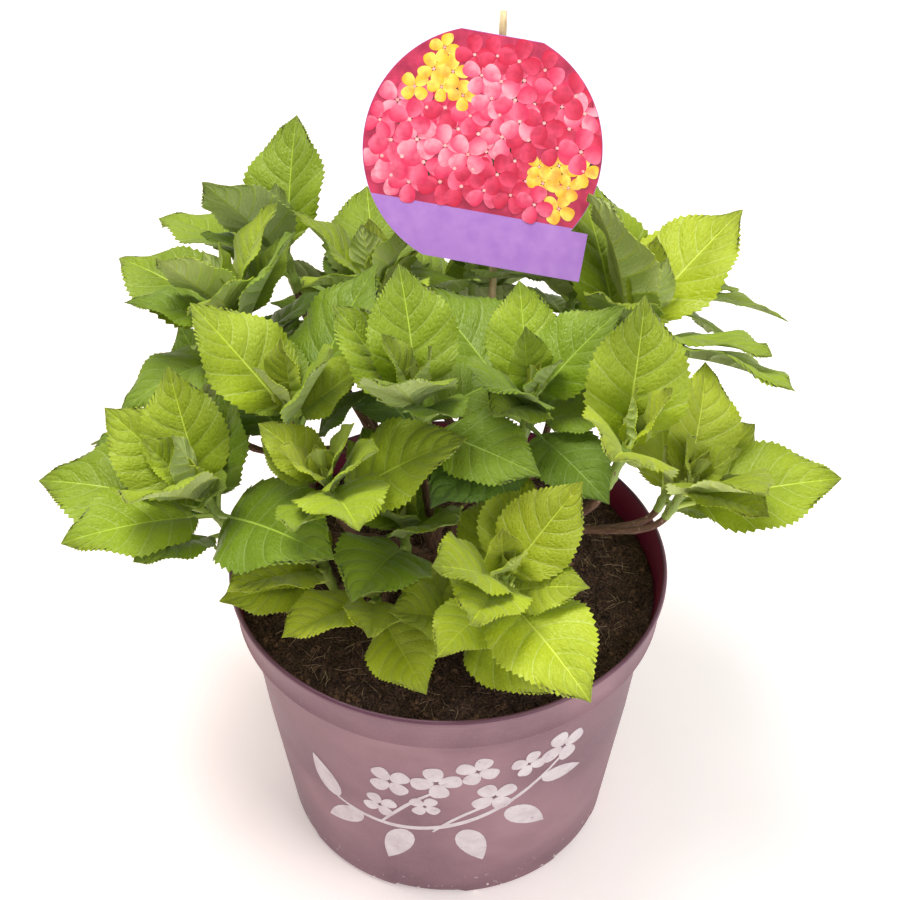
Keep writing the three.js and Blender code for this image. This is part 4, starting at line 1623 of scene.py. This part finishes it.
# ---------------------------------------------------------------- compost
@dataclass
class Compost:
    """Peaty compost with crumbs, clods and fibres on top."""

    radius: float = 109.2
    cells: int = 88
    relief: float = 2.3
    crumbs: int = 4200
    fibres: int = 900
    crumb_margin: float = 3.0
    fibre_margin: float = 14.0
    squash: tuple[tuple[float, float], ...] = ((0.7, 1.5), (0.6, 1.0), (0.45, 0.9))
    walls: tuple[tuple[float, float], ...] = ((109.2, 151.6), (104.2, 148.3), (87.3, 5.9))
    seed: int = 5

    def height(self, x: float, y: float) -> float:
        """Returns the height of the surface, in millimetres."""
        broad = noise.noise(Vector((x / 34, y / 34, 2)))
        lumps = noise.fractal(Vector((x / 9, y / 9, 7)), 0.7, 2.1, 4)
        edge = max(0.0, math.hypot(x, y) / self.radius - 0.9) * 8
        return POT.compost_top - 1.9 + self.relief * (0.5 * broad + 0.75 * lumps) - edge

    def make_bed(self, materials: list[Material]) -> None:
        """Makes the lumpy bed down to the floor of the pot."""
        shape = bmesh.new()
        bmesh.ops.create_grid(shape, x_segments=self.cells, y_segments=self.cells, size=1)
        for vert in shape.verts:
            u, v = vert.co.x, vert.co.y
            x = u * math.sqrt(max(0.0, 1 - v * v / 2)) * self.radius
            y = v * math.sqrt(max(0.0, 1 - u * u / 2)) * self.radius
            vert.co = Vector((x, y, self.height(x, y))) * MM
        rim = [edge for edge in shape.edges if edge.is_boundary]
        for radius, level in self.walls:
            out = bmesh.ops.extrude_edge_only(shape, edges=rim)["geom"]
            rim = [item for item in out if isinstance(item, bmesh.types.BMEdge)]
            for vert in (item for item in out if isinstance(item, bmesh.types.BMVert)):
                flat = math.hypot(vert.co.x, vert.co.y)
                share = radius * MM / flat
                vert.co = Vector((vert.co.x * share, vert.co.y * share, level * MM))
        bmesh.ops.holes_fill(shape, edges=rim, sides=0)
        bmesh.ops.recalc_face_normals(shape, faces=shape.faces[:])
        for face in shape.faces:
            face.smooth = True
        piece = Piece("compost_bed")
        piece.take(shape)
        piece.finish(materials, ["compost"])

    def scatter(self, dice: Dice, margin: float) -> tuple[float, float]:
        """Returns a random place on the bed, at least the margin from its edge."""
        reach = math.sqrt(dice.next()) * (self.radius - margin)
        bearing = dice.between(-math.pi, math.pi)
        return reach * math.cos(bearing), reach * math.sin(bearing)

    def make_crumbs(self, materials: list[Material]) -> None:
        """Strews crumbs in three browns."""
        dice = Dice(self.seed)
        shape = bmesh.new()
        bmesh.ops.create_icosphere(shape, subdivisions=1, radius=1)
        crumb = Template("crumb", shape)
        piece = Piece("compost_crumbs")
        for _ in range(self.crumbs):
            x, y = self.scatter(dice, self.crumb_margin)
            size = 0.5 + 1.5 * dice.next() ** 3.4
            squash = np.array([dice.between(*ends) for ends in self.squash]) * size
            spin = Matrix.Rotation(dice.between(0, math.tau), 3, "Z")
            turn = np.array(spin @ Matrix.Rotation(dice.spread(0.6), 3, "X"))
            bumps = np.array([1 + dice.spread(0.25) for _ in range(len(crumb.points))])
            points = (crumb.points * bumps[:, None] * squash) @ turn.T
            points += np.array([x, y, self.height(x, y) + 0.25 * size])
            piece.add(crumb, points, int(dice.next() * 2.999))
        piece.finish(materials, ["compost"])

    def make_fibres(self, materials: list[Material]) -> None:
        """Strews bent fibres."""
        dice = Dice(self.seed + 1)
        tube = Sleeve("fibre", 4, 6)
        piece = Piece("compost_fibres")
        for _ in range(self.fibres):
            centre = np.array([*self.scatter(dice, self.fibre_margin), 0])
            heading = dice.between(-math.pi, math.pi)
            run = np.array([math.cos(heading), math.sin(heading), 0]) * dice.between(1.5, 8)
            side = np.array([-run[1], run[0], 0]) * dice.spread(0.5)
            ends = [centre - run, centre + side, centre - side * 0.4, centre + run]
            for i, point in enumerate(ends):
                lift = dice.between(0.2, 1.6) if i in (1, 2) else dice.between(-0.5, 0.8)
                point[2] = self.height(point[0], point[1]) + lift
            radii = dice.between(0.1, 0.26) * (1 - 0.6 * tube.way)
            piece.add(tube, tube.lay(Curve(np.array(ends)).point, radii), int(dice.next() * 1.999))
        piece.finish(materials, ["compost"])

    def build(self) -> None:
        """Builds the compost."""
        peat = Soil("peat", srgb(28, 20, 18), srgb(122, 94, 80)).material()
        brown = Soil("brown_crumb", srgb(40, 28, 24), srgb(140, 108, 88)).material()
        red = Soil("red_crumb", srgb(74, 54, 42), srgb(156, 122, 98)).material()
        straw = Soil("straw", srgb(164, 138, 112), srgb(216, 194, 164), 0.8).material()
        self.make_bed([peat])
        self.make_crumbs([peat, brown, red])
        self.make_fibres([red, straw])


# ---------------------------------------------------------------- pot, card and print
@dataclass
class Pot:
    """Round nursery pot with a stepped collar, a rolled lip and a notched foot ring."""

    steps: int = 300
    size: PotSize = POT

    def profile(self) -> list[tuple[float, float]]:
        """Returns the outline of the wall as radius and height, from the middle of the underside."""
        p = self.size
        return [
            (0, 0), (p.pad_radius - 1, 0), (p.pad_radius, 0.5), (p.pad_radius + 1, p.recess),
            (p.foot_radius - p.foot_width - 1, p.recess), (p.foot_radius - p.foot_width - 0.4, 0.5),
            (p.foot_radius - p.foot_width + 0.4, 0), (p.foot_radius - 0.8, 0), (p.foot_radius, 0.5),
            (p.foot_radius + 0.6, 1.6), (p.foot_radius + 2, p.recess + 0.4), (p.foot_radius + 2.4, 7),
            (p.body_top_radius - 6.5, p.collar_bottom - 62), (p.body_top_radius - 0.5, p.collar_bottom - 4.4),
            (p.body_top_radius, p.collar_bottom - 3.2), (p.body_top_radius + 0.6, p.collar_bottom - 2.4),
            (p.collar_radius - 0.9, p.collar_bottom - 0.5), (p.collar_radius - 0.2, p.collar_bottom + 0.4),
            (p.collar_radius + 0.45, p.collar_bottom + 1.3), (p.collar_radius + 0.5, p.collar_bottom + 2.1),
            (p.collar_radius + 0.1, p.collar_bottom + 2.9), (p.collar_radius + 1, p.height - 5.6),
            (p.collar_radius + 1.4, p.height - 5), (p.rim_radius - 0.4, p.height - 4.3),
            (p.rim_radius, p.height - 3.4),
            (p.rim_radius, p.height - 1.4), (p.rim_radius - 0.35, p.height - 0.5),
            (p.rim_radius - 1.1, p.height),
            (p.rim_radius - p.wall + 0.6, p.height), (p.rim_radius - p.wall, p.height - 0.6),
            (p.collar_radius - p.wall + 0.4, p.collar_bottom + 6),
            (p.collar_radius - p.wall, p.collar_bottom + 3),
            (p.body_top_radius - p.wall, p.collar_bottom), (p.foot_radius + 2 - p.wall, p.floor + 0.8),
            (p.foot_radius + 1 - p.wall, p.floor), (0, p.floor),
        ]  # fmt: skip

    def build(self) -> None:
        """Builds the pot."""
        shape = bmesh.new()
        chain = [shape.verts.new((radius * MM, 0, height * MM)) for radius, height in self.profile()]
        edges = [shape.edges.new(pair) for pair in zip(chain[:-1], chain[1:])]
        bmesh.ops.spin(
            shape,
            geom=chain + edges,
            axis=(0, 0, 1),
            cent=(0, 0, 0),
            angle=math.tau,
            steps=self.steps,
            use_merge=True,
        )
        bmesh.ops.remove_doubles(shape, verts=shape.verts[:], dist=1e-6)
        bmesh.ops.recalc_face_normals(shape, faces=shape.faces[:])
        self.cut_notches(shape)
        for face in shape.faces:
            centre = face.calc_center_median()
            inward = face.normal.x * centre.x + face.normal.y * centre.y < 0
            lip = centre.z > (self.size.height - 1.2) * MM
            face.smooth = True
            face.material_index = 2 if lip else 1 if inward and centre.z > 0.004 else 0
        for edge in shape.edges:
            if edge.calc_face_angle(0) > math.radians(38):
                edge.smooth = False
        piece = Piece("nursery_pot")
        piece.take(shape)
        outside = PotPlastic("pot_dusty_plum", srgb(110, 74, 88), srgb(150, 116, 124), srgb(98, 60, 76))
        # Inside wall: the plastic's plum is shifted to a brighter crimson all over. This is a painted glow
        # for light shining through the thin wall; the lighter dust film is real.
        inside = PotPlastic(
            "pot_dark_plum", srgb(130, 32, 64), srgb(150, 62, 92), srgb(108, 16, 44), roughness=0.4, dusty=0.5
        )
        lip = PotPlastic("pot_lip", srgb(82, 40, 62), srgb(114, 76, 92), srgb(68, 28, 50), roughness=0.42)
        finishes = [outside.material(), inside.material(), lip.material()]
        piece.finish(finishes, ["pot"])

    def cut_notches(self, shape: bmesh.types.BMesh) -> None:
        """Raises the foot ring at each notch."""
        p = self.size
        for vert in shape.verts:
            radius = math.hypot(vert.co.x, vert.co.y) / MM
            if radius < p.foot_radius - p.foot_width - 0.5 or vert.co.z / MM > p.notch_height:
                continue
            bearing = math.atan2(vert.co.y, vert.co.x) - math.radians(p.first_notch)
            pitch = math.tau / p.notches
            off = abs((bearing + pitch / 2) % pitch - pitch / 2) * radius
            depth = min(1.0, max(0.0, (p.notch_width / 2 - off) / 1.4 + 0.5))
            top = p.recess if radius < p.foot_radius - 1 else p.notch_height
            vert.co.z = max(vert.co.z, top * depth * MM)

    def wall_radius(self, height: float) -> float:
        """Returns the outside radius of the body at a height in millimetres."""
        outline = self.profile()[11:14]
        return float(np.interp(height, [z for _, z in outline], [r for r, _ in outline]))

    def on_wall(self, across: float, height: float, lift: float) -> np.ndarray:
        """Returns a place on the front of the body.

        Args:
            across: way round the wall from its front, in millimetres.
            height: height, in millimetres.
            lift: distance off the wall.

        Returns:
            The point.
        """
        radius = self.wall_radius(height)
        bearing = across / radius - math.pi / 2
        return np.array([(radius + lift) * math.cos(bearing), (radius + lift) * math.sin(bearing), height])


class Printer:
    """Lays thin flat motifs on a surface."""

    def __init__(self, piece: Piece, place: Place, ink: float) -> None:
        """Starts a print.

        Args:
            piece: the piece that the motifs join.
            place: gives a point of the surface from two lengths and a lift.
            ink: thickness of the ink in millimetres.
        """
        self.piece = piece
        self.place = place
        self.ink = ink
        steps = [0.5 - 0.5 * math.cos(math.pi * i / 10) for i in range(11)]
        self.petal_sheet = Sheet("motif", [-1, 0, 1], steps)
        self.band_sheet = Sheet("stroke", [-1, 1], [i / 24 for i in range(25)])

    def lay(self, sheet: Sheet, flat: Flat, lift: float, material: int) -> None:
        """Lays one motif.

        Args:
            sheet: its template.
            flat: carries the template's columns and rows to the two lengths on the surface.
            lift: height of the ink's foot over the surface.
            material: material index.
        """
        points = [
            self.place(*flat(s, t), lift + (self.ink if z > -0.5 else -0.05)) for s, t, z in sheet.points
        ]
        self.piece.add(sheet, np.array(points), material)

    def blade(
        self,
        x: float,
        y: float,
        length: float,
        width: float,
        turn: float,
        lift: float,
        material: int,
        tip: float = 0.5,
    ) -> None:
        """Lays a petal or a leaf.

        Args:
            x: place of its base.
            y: place of its base.
            length: its length.
            width: its width.
            turn: its bearing in degrees.
            lift: height of the ink's foot.
            material: material index.
            tip: power that rounds its tip; 1 is pointed.
        """
        cos, sin = math.cos(math.radians(turn)), math.sin(math.radians(turn))

        def flat(s: float, t: float) -> tuple[float, float]:
            bulge = max(t, 0.0) ** 0.55 * max(1 - t, 0.0) ** tip
            half = width / 2 * bulge / (0.52**0.55 * 0.48**tip)
            half = max(half, width * 0.02)
            return x + cos * t * length - sin * s * half, y + sin * t * length + cos * s * half

        self.lay(self.petal_sheet, flat, lift, material)

    def floret(
        self, x: float, y: float, size: float, turn: float, lift: float, petals: int, eye: int
    ) -> None:
        """Lays a floret of four petals round a small eye.

        Args:
            x: place of its eye.
            y: place of its eye.
            size: length of a petal.
            turn: its turn in degrees.
            lift: height of the ink's foot.
            petals: material index of the petals.
            eye: material index of the eye.
        """
        for k in range(4):
            bearing = turn + 90 * k
            out = size * 0.1
            cos, sin = math.cos(math.radians(bearing)), math.sin(math.radians(bearing))
            wide, high = size * 0.86, lift + 0.012 * k
            self.blade(x + cos * out, y + sin * out, size, wide, bearing, high, petals, 0.34)
        for k in range(2):
            self.blade(x - size * 0.09, y, size * 0.18, size * 0.17, 0, lift + 0.1 + 0.01 * k, eye, 0.5)

    def stroke(
        self, controls: Sequence[tuple[float, float]], width: float, lift: float, material: int
    ) -> None:
        """Lays a curved stroke that thins to both ends.

        Args:
            controls: four control places of its curve.
            width: its width.
            lift: height of the ink's foot.
            material: material index.
        """
        curve = Curve(np.array([(x, y, 0.0) for x, y in controls]))

        def flat(s: float, t: float) -> tuple[float, float]:
            point, ahead = curve.point(t), curve.tangent(t)
            half = width / 2 * s * (0.35 + 0.65 * math.sin(math.pi * min(max(t, 0.02), 0.98)) ** 0.5)
            return point[0] - ahead[1] * half, point[1] + ahead[0] * half

        self.lay(self.band_sheet, flat, lift, material)


@dataclass
class PotPrint:
    """A plain flowering sprig printed on the front of the pot."""

    pot: Pot
    ink: float = 0.18

    def build(self) -> None:
        """Builds the print."""
        piece = Piece("pot_sprig_print")
        press = Printer(piece, self.pot.on_wall, self.ink)
        press.stroke([(-62, 74), (-30, 60), (14, 66), (60, 112)], 3.2, 0, 0)
        press.stroke([(-36, 67), (-26, 84), (-18, 96), (-6, 104)], 2.2, 0, 0)
        press.stroke([(-8, 66), (2, 80), (12, 86), (22, 90)], 2.2, 0, 0)
        for x, y, length, turn in (
            (-62, 74, 32, 118), (-47, 69, 30, 222), (-22, 65, 34, 252),
            (8, 68, 34, 288), (31, 82, 33, 312), (50, 101, 26, 345),
        ):  # fmt: skip
            press.blade(x, y, length, length * 0.42, turn, 0, 0, 0.95)
        for x, y, size, turn in (
            (-6, 112, 12, 10), (-30, 108, 11, 40), (15, 121, 10.5, 65), (24, 96, 11.5, 30), (62, 121, 12, 20),
            (-36, 84, 9, 30), (-12, 90, 8, 55), (42, 118, 9, 70),
        ):  # fmt: skip
            press.floret(x, y, size, turn, 0, 0, 1)
        ink = Ink("pot_ink", srgb(206, 198, 201), srgb(188, 176, 182), srgb(128, 98, 110), roughness=0.55)
        dark = Ink("pot_ink_gap", srgb(120, 88, 102), srgb(104, 72, 88), roughness=0.55)
        piece.finish([ink.material(), dark.material()], [])


@dataclass
class PictureCard:
    """Round picture card with a square tab, printed with plain florets, on a bamboo stick."""

    card: Card
    seed: int = 17
    ink: float = 0.05
    segments: int = 144
    foot_band: float = -30.0
    under_leaves: int = 46
    rows: int = 9
    columns: int = 10
    yellow_heads: tuple[tuple[float, float, float], ...] = ((-26, 34, 17), (42, -8, 15))

    def on_card(self, x: float, y: float, lift: float) -> np.ndarray:
        """Returns a place on the card's front from two lengths in its plane and a lift."""
        reach, soft = math.hypot(x, y), CARD.radius - 3.0
        if lift > 0.8 * self.ink and reach > soft:
            share = (soft + 2.7 * math.tanh((reach - soft) / 2.7)) / reach
            x, y = x * share, y * share
        face = self.card.front * (CARD.thickness + lift)
        return self.card.centre + self.card.right * x + self.card.up * y + face

    def tab_line(self, share: float) -> tuple[float, float]:
        """Returns the place at a share of the way round the tab, from the bottom flat to the disc."""
        foot = math.sqrt(CARD.radius**2 - CARD.flat**2)
        side = math.sqrt(CARD.radius**2 - CARD.tab_top**2)
        right, low, high = CARD.tab_right, -CARD.flat, CARD.tab_top
        line = [(foot, low), (right, low), (right, high), (side, high)]
        gaps = [math.dist(a, b) for a, b in zip(line[:-1], line[1:])]
        marks = [0.0, gaps[0], gaps[0] + gaps[1], sum(gaps)]
        way = share * marks[-1]
        near = min(marks, key=lambda mark: abs(mark - way))
        way = near if abs(near - way) < 2.6 else way
        x, y = (float(np.interp(way, marks, values)) for values in zip(*line))
        return x, y

    def make_board(self) -> None:
        """Makes the bare card."""
        shape = bmesh.new()
        bmesh.ops.create_circle(shape, cap_ends=True, segments=self.segments, radius=CARD.radius)
        start = math.degrees(math.atan2(-CARD.flat, math.sqrt(CARD.radius**2 - CARD.flat**2)))
        end = math.degrees(math.atan2(CARD.tab_top, math.sqrt(CARD.radius**2 - CARD.tab_top**2)))
        for vert in shape.verts:
            bearing = math.degrees(math.atan2(vert.co.y, vert.co.x))
            if start <= bearing <= end:
                vert.co.x, vert.co.y = self.tab_line((bearing - start) / (end - start))
            vert.co.y = min(max(vert.co.y, -CARD.flat), CARD.flat)
        bmesh.ops.remove_doubles(shape, verts=shape.verts[:], dist=0.01)
        bmesh.ops.solidify(shape, geom=shape.faces[:], thickness=1)
        bmesh.ops.recalc_face_normals(shape, faces=shape.faces[:])
        top = max(vert.co.z for vert in shape.verts)
        for vert in shape.verts:
            lift = 0.0 if vert.co.z > top - 0.5 else -CARD.thickness
            vert.co = Vector(self.on_card(vert.co.x, vert.co.y, lift)) * MM
        bmesh.ops.recalc_face_normals(shape, faces=shape.faces[:])
        piece = Piece("card_board")
        piece.take(shape)
        board = Ink("card_lilac", srgb(178, 130, 206), srgb(164, 114, 198), roughness=0.4, gloss=0.2)
        piece.finish([board.material()], ["picture_card"])

    def make_print(self) -> None:
        """Prints the picture: a dark ground, leaves, and florets in pinks and yellows."""
        dice = Dice(self.seed)
        piece = Piece("card_picture")
        press = Printer(piece, self.on_card, self.ink)
        low, high = self.foot_band, CARD.flat - 0.3
        ground = Sheet("ground", [i / 12 - 1 for i in range(25)], [i / 24 for i in range(25)])

        def disc(s: float, t: float) -> tuple[float, float]:
            y = low + (high - low) * t
            return s * (math.sqrt(CARD.radius**2 - y * y) - 0.25), y

        press.lay(ground, disc, -0.02, 0)
        inside = CARD.radius - 12
        for _ in range(self.under_leaves):
            x, y = dice.spread(inside), dice.between(low + 17, high - 17)
            if math.hypot(x, y) < inside - 4:
                length, width, turn = (dice.between(*ends) for ends in ((11, 17), (7, 10), (0, 360)))
                press.blade(x, y, length, width, turn, 0.05, 1, 0.8)
        places = []
        for row in range(self.rows):
            for column in range(self.columns):
                x = -56 + 12.0 * column + 6.0 * (row % 2) + dice.spread(2.2)
                y = low + 9.5 + 9.2 * row + dice.spread(1.6)
                if math.hypot(x, y) < inside + 6.5 and low + 8 < y < high - 6.5:
                    places.append((x, y))
        for number, (x, y) in enumerate(places):
            yellow = any(math.hypot(x - a, y - b) < reach for a, b, reach in self.yellow_heads)
            petals = 5 if yellow else 2 + int(dice.next() * 2.999)
            size = dice.between(8.4, 10.6) * (0.72 if yellow else 1)
            press.floret(x, y, size, dice.between(0, 90), 0.1 + 0.03 * (number % 7), petals, 6)
        piece.finish(
            [
                Ink("card_ground", srgb(206, 52, 92), srgb(150, 22, 60), gloss=0.2).material(),
                Ink("card_leaf", srgb(36, 66, 30), srgb(20, 40, 22), gloss=0.2).material(),
                Petal("petal_rose", srgb(240, 110, 140), srgb(226, 46, 92), srgb(190, 24, 70)).material(),
                Petal("petal_pink", srgb(252, 164, 180), srgb(238, 84, 120), srgb(214, 52, 96)).material(),
                Petal("petal_red", srgb(228, 70, 104), srgb(204, 24, 66), srgb(160, 14, 52)).material(),
                Petal("petal_yellow", srgb(252, 224, 96), srgb(244, 190, 40), srgb(220, 120, 50)).material(),
                Ink("petal_eye", srgb(250, 196, 190), srgb(236, 150, 150)).material(),
            ],
            [],
        )

    def make_stick(self) -> None:
        """Makes the bamboo stick behind the card."""
        tube = Sleeve("stick", 14, 48)
        low, high = self.card.low, self.card.high
        way = tube.way
        joints = np.exp(-(((way * 5.3 + 0.2) % 1 - 0.5) / 0.02) ** 2)
        radii = CARD.stick_radius * (0.95 + 0.09 * joints + 0.02 * np.sin(3 * tube.angle))
        radii = np.where(way > 0.985, radii * 0.8, radii)
        piece = Piece("bamboo_stick")
        piece.add(tube, tube.lay_straight(low, high, np.minimum(radii, CARD.stick_radius)))
        piece.finish([StickWood().material()], ["card_stick"])

    def build(self) -> None:
        """Builds the card, its picture and its stick."""
        self.make_board()
        self.make_print()
        self.make_stick()


# ---------------------------------------------------------------- studio
@dataclass
class StudioSet:
    """Pale floor, soft light and the camera."""

    place: tuple[float, float, float] = (0.001, -0.64826, 0.78416)
    pitch: float = 39.8
    lens: float = 67.64
    sensor: float = 36.0
    floor_size: float = 8.0
    world: Color = (1.0, 0.975, 0.972)
    world_strength: float = 0.6
    aim: tuple[float, float, float] = (0, 0, 0.18)
    light_color: Color = (1.0, 0.985, 0.96)

    def build(self) -> None:
        """Builds the set."""
        self.make_floor()
        self.make_light()
        self.make_camera()

    def make_floor(self) -> None:
        """Makes the floor."""
        shape = bmesh.new()
        bmesh.ops.create_grid(shape, x_segments=8, y_segments=8, size=self.floor_size / 2)
        mesh = bpy.data.meshes.new("studio_floor")
        shape.to_mesh(mesh)
        shape.free()
        mesh.materials.append(Studio().material())
        floor = put("studio_floor", mesh)

    def make_light(self) -> None:
        """Makes the even surround, a large soft key from behind and above, and a fill from the front."""
        world = bpy.data.worlds.new("studio")
        bpy.context.scene.world = world
        world.use_nodes = True
        background = world.node_tree.nodes["Background"]
        background.inputs["Color"].default_value = (*self.world, 1.0)
        background.inputs["Strength"].default_value = self.world_strength
        self.add_area("key", (-0.35, 0.2, 1.7), 25.0, 0.8)
        self.add_area("fill", (1.1, -1.0, 1.1), 11.0, 0.9)

    def add_area(self, name: str, place: tuple[float, float, float], watts: float, size: float) -> None:
        """Adds an area light that faces the plant.

        Args:
            name: name of the light.
            place: its place in metres.
            watts: its power.
            size: its side in metres.
        """
        data = bpy.data.lights.new(name, "AREA")
        data.energy = watts
        data.size = size
        data.color = self.light_color
        light = put(name, data)
        light.location = place
        aim = Vector(self.aim) - Vector(place)
        light.rotation_euler = aim.to_track_quat("-Z", "Y").to_euler()

    def make_camera(self) -> None:
        """Makes the camera."""
        data = bpy.data.cameras.new("camera")
        data.sensor_width = self.sensor
        data.lens = self.lens
        camera = put("camera", data)
        camera.location = self.place
        camera.rotation_euler = (math.radians(90 - self.pitch), 0, 0)
        bpy.context.scene.camera = camera


def main() -> None:
    """Builds every part in order."""
    bpy.context.scene.view_settings.view_transform = "Standard"
    card = Card()
    growth = Growth(card)
    growth.fill_gaps()
    counts = len(growth.leaves), len(growth.shoots), growth.filled
    LOG.info("%d leaves on %d shoots, %d of them filled in", *counts)
    pot = Pot()
    pot.build()
    PotPrint(pot).build()
    Compost().build()
    Plant(growth).build()
    PictureCard(card).build()
    StudioSet().build()


if __name__ == "__main__":
    logging.basicConfig(level=logging.INFO, format="%(name)s: %(message)s")
    main()
